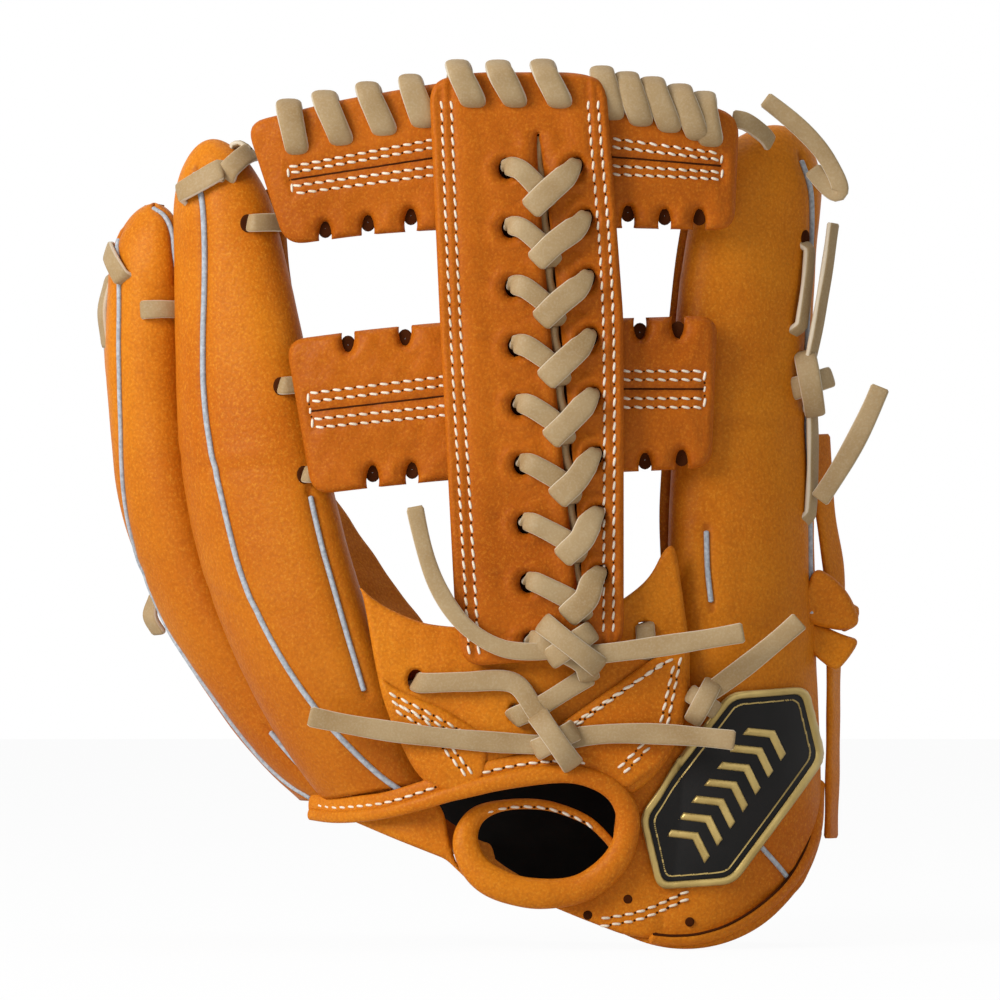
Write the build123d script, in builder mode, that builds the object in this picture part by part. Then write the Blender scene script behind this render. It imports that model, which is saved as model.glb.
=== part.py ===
"""A left-hand infielder's baseball glove, worn upright: fingers up, web towards -Y, pocket open towards +Y.

The frame is in millimetres. The origin is the middle of the hand opening at the wrist, +Z runs up the
fingers, +X points from the finger side to the thumb side and -Y is the side that the web faces.
"""

import math
import os
from dataclasses import dataclass

from build123d import *

# --- leather, felt and lace stock -------------------------------------------------------------
SHELL = 3.4  # outer hide and its lining, sewn together
PALM_HIDE = 3.2
PALM_FELT = 4.0
LINING = 1.8
GAP = 0.4  # clearance between neighbouring pieces
BAR_HIDE = 5.0  # a web bar is one hide folded double
POST_HIDE = 5.6
BASE_HIDE = 3.0
STRAP_HIDE = 3.6
LACE_WIDTH = 6.4
LACE_THICK = 2.2
LACE_HOLE = 3.4  # radius
WELT_RADIUS = 1.2
BINDING_RADIUS = 3.1

# --- the wrist end ----------------------------------------------------------------------------
RIM_TILT = 22.5  # the wrist rim rises towards the finger side, degrees
HEEL_X = 40.0  # middle of the thumb heel's rounded corner
HEEL_Z = 29.0
HEEL_RADIUS = 44.8
NECK_HEIGHT = 80.0  # where the thumb stall flexes on the thumb heel
NECK_GAP = 0.6

# --- the web: back faces in X and Y, and the post's in Y and Z ----------------------------------
POST_LEFT = -36.5
POST_RIGHT = 20.0
POST_FOOT = 82.0
SADDLE = 88.0  # the palm hide ends here, behind the web base
WEB_TOP = 260.5
POST_BACK = ((-62.8, WEB_TOP), (-63.4, 215), (-63.8, 165), (-63.6, 120), (-63.2, POST_FOOT))
TOP_BAR_BACK = ((-99, -49.5), (-60, -54.5), (-12, -56.8), (28, -55), (57, -48.5))
LOWER_BAR_BACK = ((-87, -51.3), (-60, -54.8), (-15, -57), (20, -55.5), (50, -50.6))
BASE_BACK = ((-68, -54.5), (-50, -57.2), (-20, -59.4), (10, -59.2), (32, -56), (42, -53.2))
STRAP_BACK = ((-70, 2), (-77, -10), (-78, -24), (-67, -39), (-45, -48.4), (-15, -51.4), (10, -51.6),
              (27, -51.2))

# --- the hand's room: height, half width, half depth ------------------------------------------
CAVITY_X = -6.0
CAVITY_Y = -19.0
CAVITY = ((-30, 49, 25), (30, 50, 25), (62, 44, 22), (80, 26, 12))

REACH = 300.0  # longer than the glove in any direction
SEAT = 0.15  # between a piece of trim and what it lies on

os.makedirs("parts", exist_ok=True)


@dataclass
class Station:
    """One level of a digit: its middle, half width along the hand, half thickness and lean in degrees."""

    z: float
    x: float
    y: float
    half_width: float
    half_thick: float
    lean: float

    @property
    def along(self):
        """Unit vector along the hand, towards the thumb side."""
        lean = math.radians(self.lean)
        return Vector(math.cos(lean), -math.sin(lean), 0)

    @property
    def outward(self):
        """Unit vector out of the back of the hand."""
        lean = math.radians(self.lean)
        return Vector(-math.sin(lean), -math.cos(lean), 0)

    @property
    def middle(self):
        """Centre of the section."""
        return Vector(self.x, self.y, self.z)

    def on_surface(self, angle, off=0.0):
        """The point angle degrees from the crown, positive towards the finger side, off the skin by off."""
        turn = math.radians(angle)
        sideways = self.along * (-(self.half_width + off) * math.sin(turn))
        return self.middle + sideways + self.outward * ((self.half_thick + off) * math.cos(turn))


@dataclass
class Digit:
    """A finger or thumb stall, from its tip down to its base, through four stations."""

    name: str
    tip: float
    dome: float
    stations: tuple

    def at(self, z):
        """The station at height z, on the cubic through the four given ones, closing over the tip's dome."""
        values = {}
        for field in ("x", "y", "half_width", "half_thick", "lean"):
            values[field] = sum(
                getattr(a, field)
                * math.prod((z - b.z) / (a.z - b.z) for b in self.stations if b is not a)
                for a in self.stations
            )
        rise = (z - self.tip + self.dome) / self.dome
        if rise > 0:
            values["half_width"] *= math.sqrt(max(0.0, 1 - rise**2))
            values["half_thick"] *= math.sqrt(max(0.0, 1 - rise**2))
        return Station(z, **values)

    def levels(self, low):
        """Heights of the loft's sections from low up to just under the tip."""
        shoulder = self.tip - self.dome
        count = max(3, round((shoulder - low) / 24))
        even = [low + (shoulder - low) * i / count for i in range(count + 1)]
        return even + [shoulder + self.dome * math.sin(math.radians(t)) for t in (24, 44, 62, 76)]

    def solid(self, low, off=0.0):
        """The digit's closed form from height low to its tip, grown by off all round."""
        with BuildPart() as form:
            for z in self.levels(low):
                at = self.at(z)
                lift = off if z > self.tip - self.dome else 0.0
                half_width = max(1.2, at.half_width + off)
                half_thick = max(1.0, at.half_thick + off)
                ring = []
                for turn in range(0, 360, 30):
                    across = at.along * (half_width * math.cos(math.radians(turn)))
                    through = at.outward * (half_thick * math.sin(math.radians(turn)))
                    ring.append(across + through + Vector(at.x, at.y, 0))
                with BuildSketch(Plane.XY.offset(z + lift)):
                    with BuildLine():
                        Spline(*[(p.X, p.Y) for p in ring], periodic=True)
                    make_face()
            loft(ruled=True)
        return form.part

    def skin(self, low, outer, inner, flare=2.0):
        """A wall of the digit between two offsets, open at the bottom."""
        with BuildPart() as wall:
            add(self.solid(low, outer))
            add(self.solid(low - flare, inner), mode=Mode.SUBTRACT)
        return wall.part


INDEX = Digit("index", 241, 26, (
    Station(220, -107, -28, 17.5, 12.5, 33), Station(157, -99.5, -31, 24.0, 15.0, 31),
    Station(94, -86, -36, 26.5, 15.5, 28), Station(20, -47, -36, 20.0, 12.0, 25)))
MIDDLE = Digit("middle", 220, 24, (
    Station(200, -131, -6, 15.0, 12.0, 58), Station(157, -131, -4, 16.5, 13.0, 62),
    Station(94, -116, -4, 17.5, 13.0, 64), Station(20, -61, -9, 15.0, 11.0, 60)))
RING = Digit("ring", 205, 22, (
    Station(187, -134, 24, 13.0, 11.5, 88), Station(157, -132, 26.5, 14.5, 12.0, 95),
    Station(94, -109, 28, 16.0, 12.5, 108), Station(20, -52, 19, 14.0, 10.5, 103)))
LITTLE = Digit("little", 182, 20, (
    Station(165, -122, 53, 14.0, 10.5, 125), Station(126, -101, 57, 20.5, 12.0, 146),
    Station(94, -82, 56, 23.0, 12.0, 154), Station(20, -34, 40, 16.5, 10.0, 152)))
THUMB = Digit("thumb", 246, 24, (
    Station(220, 63, -25, 24.0, 13.5, -40), Station(157, 58, -27, 26.5, 15.0, -40),
    Station(94, 58, -29, 27.5, 16.0, -40), Station(20, 55, -27, 33.0, 20.0, -38)))
FINGERS = (INDEX, MIDDLE, RING, LITTLE)


def export(piece, label):
    """Labels a finished piece and writes it as one STEP file."""
    piece.label = label
    export_step(piece, f"parts/{label}.step")


# --- shared shapes and cutters ----------------------------------------------------------------
def parallel(path, shift):
    """The path's points moved sideways by shift, to the right of the way the path runs."""
    moved = []
    for i, (u, v) in enumerate(path):
        before = path[max(0, i - 1)]
        after = path[min(len(path) - 1, i + 1)]
        way = math.atan2(after[1] - before[1], after[0] - before[0])
        moved.append((u + shift * math.sin(way), v - shift * math.cos(way)))
    return moved


def strip(path, shift, thickness):
    """The closed line between two parallels of a spline path."""
    near = parallel(path, shift)
    far = parallel(path, shift + thickness)
    with BuildLine() as edge:
        Spline(*near)
        Line(near[-1], far[-1])
        Spline(*reversed(far))
        Line(far[0], near[0])
    return edge.line


def wall(path, shift, thickness, low, high):
    """An upright wall that follows a path in X and Y between two heights."""
    with BuildPart() as standing:
        with BuildSketch(Plane.XY.offset(low)):
            make_face(strip(path, shift, thickness))
        extrude(amount=high - low)
    return standing.part


def outline(*points, smooth=False):
    """A prism that runs through the glove along Y, over an outline in X and Z."""
    with BuildPart() as prism:
        with BuildSketch(Plane.XZ):
            with BuildLine():
                if smooth:
                    Spline(*points, periodic=True)
                else:
                    Polyline(*points, close=True)
            make_face()
        extrude(amount=REACH, both=True)
    return prism.part


def block(low, high):
    """An upright box between two corners."""
    size = [b - a for a, b in zip(low, high)]
    middle = [(a + b) / 2 for a, b in zip(low, high)]
    with BuildPart() as box:
        with Locations(tuple(middle)):
            Box(*size)
    return box.part


def cord(points, radius):
    """A round cord along a spline."""
    with BuildPart() as run:
        with BuildLine() as line:
            Spline(*points)
        with BuildSketch(Plane(origin=points[0], z_dir=line.line % 0)):
            Circle(radius)
        sweep()
    return run.part


def trimmed(solid, *cutters):
    """The largest solid left of the given one after the cutters."""
    with BuildPart() as cut:
        add(solid)
        for cutter in cutters:
            add(cutter, mode=Mode.SUBTRACT)
    return Part(children=[]) + max(cut.part.solids(), key=lambda piece: piece.volume)


def trimmed_group(solids, *cutters):
    """A group of solids less the cutters, all of them kept."""
    with BuildPart() as cut:
        add(solids)
        for cutter in cutters:
            add(cutter, mode=Mode.SUBTRACT)
    return cut.part


def shared(solid, *others):
    """What the solids have in common."""
    with BuildPart() as both:
        add(solid)
        for other in others:
            add(other, mode=Mode.INTERSECT)
    return both.part


def joined(solids):
    """Several solids as one piece."""
    with BuildPart() as group:
        for solid in solids:
            add(solid)
    return group.part


def wrist_trim():
    """Everything below the wrist rim: a tilted straight edge, running into the thumb heel's round corner."""
    tilt = math.radians(RIM_TILT)
    touch = (HEEL_X - HEEL_RADIUS * math.sin(tilt), HEEL_Z - HEEL_RADIUS * math.cos(tilt))
    far_end = (-REACH, touch[1] + (REACH + touch[0]) * math.tan(tilt))
    heel_side = (HEEL_X + HEEL_RADIUS, HEEL_Z)
    with BuildPart() as trim:
        with BuildSketch(Plane.XZ):
            with BuildLine():
                Polyline(touch, far_end, (-REACH, -REACH), (REACH, -REACH), (REACH, HEEL_Z), heel_side)
                RadiusArc(heel_side, touch, HEEL_RADIUS)
            make_face()
        extrude(amount=REACH, both=True)
    return trim.part


def hand_cavity():
    """The room the hand takes up behind the finger backs, from the wrist to the knuckles."""
    with BuildPart() as room:
        for z, half_width, half_depth in CAVITY:
            with BuildSketch(Plane.XY.offset(z)):
                with Locations((CAVITY_X, CAVITY_Y)):
                    Ellipse(half_width, half_depth)
        loft(ruled=True)
    return room.part


WRIST_TRIM = wrist_trim()
HAND_CAVITY = hand_cavity()


# --- the digits -------------------------------------------------------------------------------
def palm_side(digit, z, along, clear):
    """A point on the palm side of a digit: along its half width, clear of its skin."""
    at = digit.at(min(z, digit.tip - digit.dome))
    depth = at.half_thick * math.sqrt(1 - along**2) + clear
    point = at.middle + at.along * (along * at.half_width) - at.outward * depth
    return (point.X, point.Y)


LOW_PALM = {
    -24: [(-40, 24), (-28, 25), (-14, 22), (-4, 19), (6, 15), (14, 10), (21, 5)],
    20: [(-33, 27), (-27, 27.5), (-20, 25), (-11, 20), (0, 14), (13, 6), (27, -2)],
    58: [(-25, 51), (-52, 37), (-66, 20), (-60, 2), (-42, -9), (-20, -12), (15, -14)],
}


def palm_path(z):
    """The pocket face of the palm hide at height z, from its little-finger rim round to the thumb rim."""
    clear = PALM_HIDE + GAP + 1.2
    if z in LOW_PALM:
        fingers = LOW_PALM[z]
    else:
        little = LITTLE.at(min(z, LITTLE.tip - LITTLE.dome))
        rim = little.middle - little.along * (little.half_width + 8) - little.outward * 9
        fingers = [(rim.X, rim.Y)]
        fingers += [palm_side(digit, z, 0.0, clear) for digit in (LITTLE, RING, MIDDLE, INDEX)]
        fingers += [(-42, -42), (6, -50)]
    return fingers + [palm_side(THUMB, z, along, clear) for along in (-0.3, 0.25, 0.8)]


def thumb_palm_path(z):
    """The pocket face of the thumb's palm hide at height z, above the neck."""
    return [palm_side(THUMB, z, along, PALM_HIDE + GAP + 0.8) for along in (-0.85, -0.45, 0, 0.45, 0.8)]


def palm_layer(shift, thickness, levels, course=palm_path):
    """A sheet of the palm between two offsets of its pocket face."""
    with BuildPart() as sheet:
        for z in levels:
            with BuildSketch(Plane.XY.offset(z)):
                make_face(strip(course(z), shift, thickness))
        loft(ruled=True)
    return sheet.part


PALM_LEVELS = (-24, 20, 58, 94, 126, 157, 190, 232)
NECK_TRIM = block((-REACH, -REACH, -REACH), (REACH, REACH, NECK_HEIGHT))
ABOVE_NECK = block((-REACH, -REACH, NECK_HEIGHT - NECK_GAP), (REACH, REACH, REACH))
FINGER_GRIP = [digit.solid(-30, SEAT) for digit in FINGERS]
THUMB_GRIP = THUMB.solid(-30, SEAT)
BACK_LINE = outline((-REACH, 26), (-79, 29), (-33, 38), (0, 42), (0, -REACH), (-REACH, -REACH))


def stall(digit, *cutters):
    """A finger's back and side leather, open to the hand's room."""
    return trimmed(digit.skin(-28, 0, -SHELL), WRIST_TRIM, HAND_CAVITY, *cutters)


index_stall = stall(INDEX, BACK_LINE)
middle_stall = stall(MIDDLE, BACK_LINE, FINGER_GRIP[0])
ring_stall = stall(RING, FINGER_GRIP[1])
little_stall = stall(LITTLE, FINGER_GRIP[2])
thumb_heel = stall(THUMB, ABOVE_NECK)
thumb_stall = trimmed(THUMB.skin(NECK_HEIGHT - 12, 0, -SHELL), NECK_TRIM)

# --- the palm ---------------------------------------------------------------------------------
WEB_MOUTH = outline((-98, REACH), (-91, 190), (-76, 110), (-62, SADDLE), (14, SADDLE),
                    (14, NECK_HEIGHT - NECK_GAP), (REACH, NECK_HEIGHT - NECK_GAP), (REACH, REACH))
with BuildPart() as slope:
    with BuildSketch(Plane.YZ):
        with BuildLine():
            Polyline((-60, 240), (-25, 232), (62, 168), (REACH, 110), (REACH, REACH), (-60, REACH),
                     close=True)
        make_face()
    extrude(amount=REACH, both=True)
palm_sheet = palm_layer(0, PALM_HIDE, PALM_LEVELS)
palm_hide = trimmed(palm_sheet, WRIST_TRIM, WEB_MOUTH, slope.part, *FINGER_GRIP, THUMB_GRIP)
thumb_palm = trimmed(palm_layer(0, PALM_HIDE, (74, 94, 126, 157, 190, 222, 234), thumb_palm_path), NECK_TRIM,
                     THUMB_GRIP)

HAND_ROOM = outline((-40, 78), (38, 74), (42, 12), (28, -8), (0, -4), (-34, 14), (-52, 50))


def hand_course(z):
    """The stretch of the palm path that the hand lies against."""
    return palm_path(z)[2:9]


felt_shift = PALM_HIDE + GAP
lining_shift = felt_shift + PALM_FELT + GAP
palm_felt = trimmed(shared(palm_layer(felt_shift, PALM_FELT, PALM_LEVELS[:4], hand_course), HAND_ROOM),
                    *FINGER_GRIP, THUMB_GRIP, palm_hide)
palm_lining = trimmed(shared(palm_layer(lining_shift, LINING, PALM_LEVELS[:4], hand_course), HAND_ROOM),
                      *FINGER_GRIP, THUMB_GRIP, palm_hide, palm_felt)

# --- the wrist: bindings, strap ---------------------------------------------------------------
BACK_ROLL = ((-79, -29, 27.6), (-71, -40, 25), (-54, -52.5, 26.8), (-36, -58, 32.4), (-17, -61, 37.2),
             (1, -61, 38.2), (14, -59.5, 35.4), (21.4, -57, 28), (21, -55.5, 18), (15.5, -55.5, 9))
STRAP_ROLL = ((12.5, -56, 5.4), (5, -56.6, 1.6), (-4, -56.8, -0.6), (-17, -56.2, 0.6), (-26, -55, 5.4),
              (-32, -53.8, 13.5), (-33, -52, 20.5), (-29.5, -50, 26), (-22, -48.4, 28.5))
back_roll = cord(BACK_ROLL, BINDING_RADIUS)
strap_roll = trimmed(cord(STRAP_ROLL, BINDING_RADIUS), cord(BACK_ROLL, BINDING_RADIUS + GAP))
ROLLS = [cord(BACK_ROLL, BINDING_RADIUS + SEAT), cord(STRAP_ROLL, BINDING_RADIUS + SEAT)]
FINGER_SIDE = ((-79, 25), (-71, 22), (-54, 24), (-37, 29), (-33.5, 21), (-31, 13), (-24, 3), (-24, -40),
               (-100, -40), (-100, 25))
THUMB_SIDE = ((-6, -2), (5, 1), (13, 6), (16, 12), (19, 20), (28, 24), (28, -40), (-6, -40))
wrist_wall = wall(STRAP_BACK, 0, STRAP_HIDE, -40, 40)
STRAP_CUTS = [WRIST_TRIM, *ROLLS, *FINGER_GRIP[2:], THUMB_GRIP, index_stall, middle_stall]
finger_heel = trimmed(shared(wrist_wall, outline(*FINGER_SIDE)), *STRAP_CUTS)
wrist_strap = trimmed(shared(wrist_wall, outline(*THUMB_SIDE)), *STRAP_CUTS)

# --- the web ----------------------------------------------------------------------------------
def post_layer(off, thickness):
    """A sheet over the post, from off its back face, bowed like it."""
    with BuildPart() as sheet:
        with BuildSketch(Plane.YZ):
            make_face(strip(POST_BACK, off, thickness))
        extrude(amount=REACH, both=True)
    return sheet.part


POST_FORM = ((POST_LEFT - 4.5, REACH), (POST_LEFT - 1.3, 182), (POST_LEFT + 3.5, 90),
             (POST_LEFT + 5, POST_FOOT), (POST_RIGHT, POST_FOOT), (POST_RIGHT, 182), (POST_RIGHT - 5.5, REACH))
SLIT = ((-6.8, 240), (-5.2, 240), (14.2, 96), (12.6, 93))
LEFT_HOLES = [(-15.8 + 1.1 * i, 229.9 - 18.3 * i) for i in range(9)]
RIGHT_HOLES = [(5.4 + 1.25 * i, 229.9 - 17.8 * i) for i in range(8)]


def punched(solid, holes):
    """The solid with round lace holes through it along Y."""
    with BuildPart() as piece:
        add(solid)
        with BuildSketch(Plane.XZ):
            with Locations(*holes):
                Circle(LACE_HOLE)
        extrude(amount=REACH, both=True, mode=Mode.SUBTRACT)
    return piece.part


web_post = trimmed(punched(shared(post_layer(0, POST_HIDE), outline(*POST_FORM)), LEFT_HOLES + RIGHT_HOLES),
                   outline(*SLIT))


def bar(back, form, notches):
    """A web bar: a folded hide along a back face, cut to a form, with lace slots in its edges."""
    slots = [outline((x - 2.4, z - 4.6), (x + 2.4, z - 4.6), (x + 1.6, z + 4.6), (x - 1.6, z + 4.6))
             for x, z in notches]
    return trimmed(shared(wall(back, 0, BAR_HIDE, 100, REACH), outline(*form)), *slots)


TOP_FORM = ((-99.2, 245), (-70, 252), (-41, 257), (-18.9, 260), (12.6, 259), (36, 254), (56.7, 247.4),
            (55.1, 211), (18.9, 211.7), (-41, 211), (-62, 209.5), (-86.6, 206.3))
TOP_NOTCHES = ((-74, 210), (-60.5, 212), (-47, 214), (21.4, 215), (33, 214), (44, 214))
LOWER_FORM = ((-86.6, 176.4), (-62, 179.6), (-37.8, 182), (19.5, 183.3), (49.8, 184.3), (47.9, 136),
              (19.5, 134.8), (-34.7, 132.3), (-58, 130), (-78.1, 127.6))
LOWER_NOTCHES = ((-66.8, 177), (-48.8, 179), (25.2, 181), (37.2, 182), (-59, 132.5), (-46.6, 133.5),
                 (26.8, 137), (38.4, 137.4))
web_top_bar = bar(TOP_BAR_BACK, TOP_FORM, TOP_NOTCHES)
web_lower_bar = bar(LOWER_BAR_BACK, LOWER_FORM, LOWER_NOTCHES)

BASE_FORM = ((-65.5, 107), (-55, 94.5), (-41, 87), (20.5, 96), (28.4, 102), (34, 110.5), (38.7, 89.8),
             (41, 80), (41, 63), (38.7, 54), (33, 42), (22, 32), (12, 36), (0, 38), (-17, 37.4), (-36, 32),
             (-46, 40), (-55, 60), (-58, 72.5))
web_base = trimmed(shared(wall(BASE_BACK, 0, BASE_HIDE, 20, 120), outline(*BASE_FORM)), *ROLLS, *FINGER_GRIP,
                   THUMB_GRIP)

# --- welts ------------------------------------------------------------------------------------
def welt(digit, course, cutters):
    """A welt cord along a digit's seam; the course gives heights and angles from the crown."""
    points = [digit.at(z).on_surface(angle, WELT_RADIUS * 0.6) for z, angle in course]
    return trimmed(cord(points, WELT_RADIUS), *cutters)


index_welt = welt(INDEX, ((226, -8), (205, 22), (170, 28), (130, 26), (95, 30), (65, 34), (46, 30)),
                  [FINGER_GRIP[0]])
middle_welt = welt(MIDDLE, ((207, -30), (185, 12), (157, 22), (125, 24), (95, 26), (65, 22), (42, 10)),
                   [FINGER_GRIP[1], FINGER_GRIP[0]])
thumb_welt = welt(THUMB, ((234, -20), (215, -38), (190, -42), (160, -42), (125, -44), (90, -46)),
                  [THUMB_GRIP, NECK_TRIM])

# --- the badge place on the heel --------------------------------------------------------------
PATCH_MIDDLE = (54.0, 35.0)
PATCH_LENGTH = 78.0
PATCH_WIDTH = 36.0
PATCH_POINT = 15.0  # how far each pointed end reaches past the straight edges
PATCH_TURN = math.radians(54)


def patch_corner(u, v):
    """A corner of the badge place: u along it and v across it, in X and Z."""
    return (PATCH_MIDDLE[0] + u * math.cos(PATCH_TURN) - v * math.sin(PATCH_TURN),
            PATCH_MIDDLE[1] + u * math.sin(PATCH_TURN) + v * math.cos(PATCH_TURN))


half_length = PATCH_LENGTH / 2
shoulder = half_length - PATCH_POINT
PATCH_FORM = [patch_corner(u, v * PATCH_WIDTH / 2) for u, v in (
    (-half_length, 0), (-shoulder, -1), (shoulder, -1), (half_length, 0), (shoulder, 1), (-shoulder, 1))]
with BuildPart() as heel_front:
    with BuildSketch(Plane.XY.offset(-40)):
        with BuildLine():
            Polyline((24, -51.5), (86, -2.5), (REACH, -2.5), (REACH, -REACH), (24, -REACH), close=True)
        make_face()
    extrude(amount=160)
patch_skin = THUMB.skin(-28, SEAT + 1.6, SEAT)
heel_patch = trimmed(shared(patch_skin, outline(*PATCH_FORM), heel_front.part), WRIST_TRIM,
                     cord(BACK_ROLL, BINDING_RADIUS + GAP), wrist_strap)

# --- laces ------------------------------------------------------------------------------------
def lace_run(points, width=LACE_WIDTH):
    """The form of a lace that runs straight from point to point in X and Z."""
    legs = []
    for (x0, z0), (x1, z1) in zip(points, points[1:]):
        length = math.hypot(x1 - x0, z1 - z0)
        across = (-(z1 - z0) / length * width / 2, (x1 - x0) / length * width / 2)
        legs.append(outline((x0 + across[0], z0 + across[1]), (x1 + across[0], z1 + across[1]),
                            (x1 - across[0], z1 - across[1]), (x0 - across[0], z0 - across[1])))
    return joined(legs)


def tail(points, front, width=LACE_WIDTH):
    """A free lace end that hangs in front of the glove, its outer face at Y = front."""
    return shared(lace_run(points, width), block((-REACH, front, -REACH), (REACH, front + LACE_THICK, REACH)))


def hugging(digit, runs, width=LACE_WIDTH):
    """Laces that lie on the outer side of a digit."""
    outer_side = block((-REACH, -REACH, -REACH), (REACH, digit.at(150).y, REACH))
    skin = shared(digit.skin(-28, SEAT + LACE_THICK, SEAT), outer_side)
    return joined([shared(skin, lace_run(run, width)) for run in runs])


def knot(x, z, front, depth, size, turn):
    """A pulled-tight knot: two crossed turns of lace."""
    with BuildPart() as tied:
        for angle, share in ((turn, 1.0), (turn + 62, 0.85)):
            with BuildSketch(Plane.XZ.offset(-front - depth)):
                with Locations(Location((x, z, 0), (0, 0, angle))):
                    RectangleRounded(size[0] * share, size[1] * share, 2.4)
            extrude(amount=depth)
    return tied.part


def whip(x, top, back, thickness):
    """One turn of lace over an edge: down both faces of what it binds."""
    depth = thickness + 2 * (LACE_THICK + SEAT)
    with BuildPart() as turn:
        with BuildSketch(Plane.YZ.offset(x - LACE_WIDTH / 2)):
            with Locations((back - thickness / 2, top - 6.5)):
                RectangleRounded(depth, 17.5, 2.2)
            with Locations((back - thickness / 2, top - 14)):
                Rectangle(thickness + 2 * SEAT, 28 + 2 * SEAT, mode=Mode.SUBTRACT)
        extrude(amount=LACE_WIDTH)
    return turn.part


def between(points, u):
    """The value at u on the broken line through the points."""
    for (u0, v0), (u1, v1) in zip(points, points[1:]):
        if u0 <= u <= u1:
            return v0 + (v1 - v0) * (u - u0) / (u1 - u0)
    return points[0][1]


BAR_WHIPS = (-83.5, -71.5, -57.3, 27, 36, 47)
POST_WHIPS = (-30.5, -16.7, -3.2)
whips = [whip(x, between(TOP_FORM, x) + 1.0, between(TOP_BAR_BACK, x) + 1.0, BAR_HIDE + 1.8)
         for x in BAR_WHIPS]
whips += [whip(x, WEB_TOP + 0.4, between(TOP_BAR_BACK, x) + 0.6, POST_HIDE + BAR_HIDE + 2.4)
          for x in POST_WHIPS]
top_lace = joined([trimmed(turn, web_post, web_top_bar) for turn in whips])

crossings = []
for left, right in zip(LEFT_HOLES, RIGHT_HOLES):
    slit = ((left[0] + right[0]) / 2 + 0.6, (left[1] + right[1]) / 2 - 5)
    crossings += [lace_run([left, slit]), lace_run([right, slit])]
POST_FACE = -75.5
POST_TAIL = ((2, 79), (-13, 77.5), (-25, 82), (-34.6, 91), (-42.5, 107), (-45.7, 124))
POST_SIDE_TAIL = ((6, 77), (31, 79.5), (57.6, 84.4))
post_lace = joined([
    shared(post_layer(POST_HIDE + SEAT, LACE_THICK), joined(crossings)),
    knot(4, 79.5, POST_FACE, 6.4, (17, 11), 20),
    tail(POST_TAIL, POST_FACE + 2.5, 5.2),
    tail(POST_SIDE_TAIL, POST_FACE + 2.5),
])

BASE_FACE = -69.5
BASE_FINGER_TAIL = ((-6, 49), (-49, 51), (-79, 58))
BASE_THUMB_TAIL = ((0, 50), (14.5, 55), (55, 50.4))
SIDE_TAIL = ((45, 64), (60, 74), (75.6, 88))
base_runs = [lace_run([(-46, 67), (-14, 69), (0, 50)]), lace_run([(9, 70), (-13, 58)]),
             lace_run([(26, 83), (27, 76)])]
base_lace = trimmed_group(joined([
    shared(wall(BASE_BACK, BASE_HIDE + SEAT, LACE_THICK, 20, 90), joined(base_runs)),
    knot(-2, 49.5, BASE_FACE, 6.9, (17, 10), -25),
    tail(BASE_FINGER_TAIL, BASE_FACE + 3),
    tail(BASE_THUMB_TAIL, BASE_FACE + 3),
]), web_base)
side_lace = trimmed_group(joined([
    knot(45, 62, -61.5, 7.5, (8, 11), 10),
    tail(SIDE_TAIL, -59.7),
]), web_base, THUMB_GRIP, heel_patch)
index_lace = trimmed_group(
    hugging(INDEX, [[(-121, 223), (-106, 231)], [(-105, 229), (-97, 239)], [(-101, 213.6), (-86, 213.6)],
                    [(-92, 162), (-84, 162)], [(-84, 134), (-76, 134)]]),
    web_top_bar, web_lower_bar, FINGER_GRIP[1], index_welt)
middle_lace = trimmed_group(hugging(MIDDLE, [[(-143, 206), (-138, 196)], [(-134, 186.5), (-119, 186.5)]]),
                            FINGER_GRIP[0], FINGER_GRIP[2], index_welt, middle_welt)
KNOT_TAIL = ((79.6, 170), (84, 190), (87, 214))
OUTER_TAIL = ((82.5, 126), (94, 142), (102, 162))
TIP_TAIL = ((65, 253), (80, 242), (90, 225))
TIP_CURL = ((87, 222), (80, 231))
thumb_lace = trimmed_group(
    joined([
        hugging(THUMB, [[(57, 245), (69, 238)], [(77.5, 209), (74.5, 178)], [(77, 157), (77, 116)]]),
        knot(79.5, 163, -33.5, 9, (11, 18), 8),
        tail(KNOT_TAIL, -31),
        tail(OUTER_TAIL, -31),
        tail(TIP_TAIL, -41),
        tail(TIP_CURL, -38.8),
    ]),
    THUMB_GRIP, thumb_welt)

# --- the thumb's pull strap -------------------------------------------------------------------
PULL_PATH = ((83.4, 146), (84.5, 125), (87.5, 100), (88.2, 86))
PULL_TAIL_PATH = ((87.9, NECK_HEIGHT - 1.5), (87.6, 69), (87.4, 45), (86.8, 18))
PULL_THICK = 2.4
PULL_BACK = -7.0
PULL_WIDE = 10.0


def pull_strip(path):
    """A length of the pull strap, its flat facing sideways."""
    with BuildPart() as strap:
        with BuildSketch(Plane.XZ.offset(-PULL_BACK)):
            make_face(strip(path, 0, PULL_THICK))
        extrude(amount=PULL_WIDE)
    return strap.part


pull_strap = trimmed(joined([pull_strip(PULL_PATH), knot(87.5, 90, -31, 22, (16, 24), 12)]),
                     THUMB.solid(-30, 2.2), NECK_TRIM)
pull_tail = pull_strip(PULL_TAIL_PATH)

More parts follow.
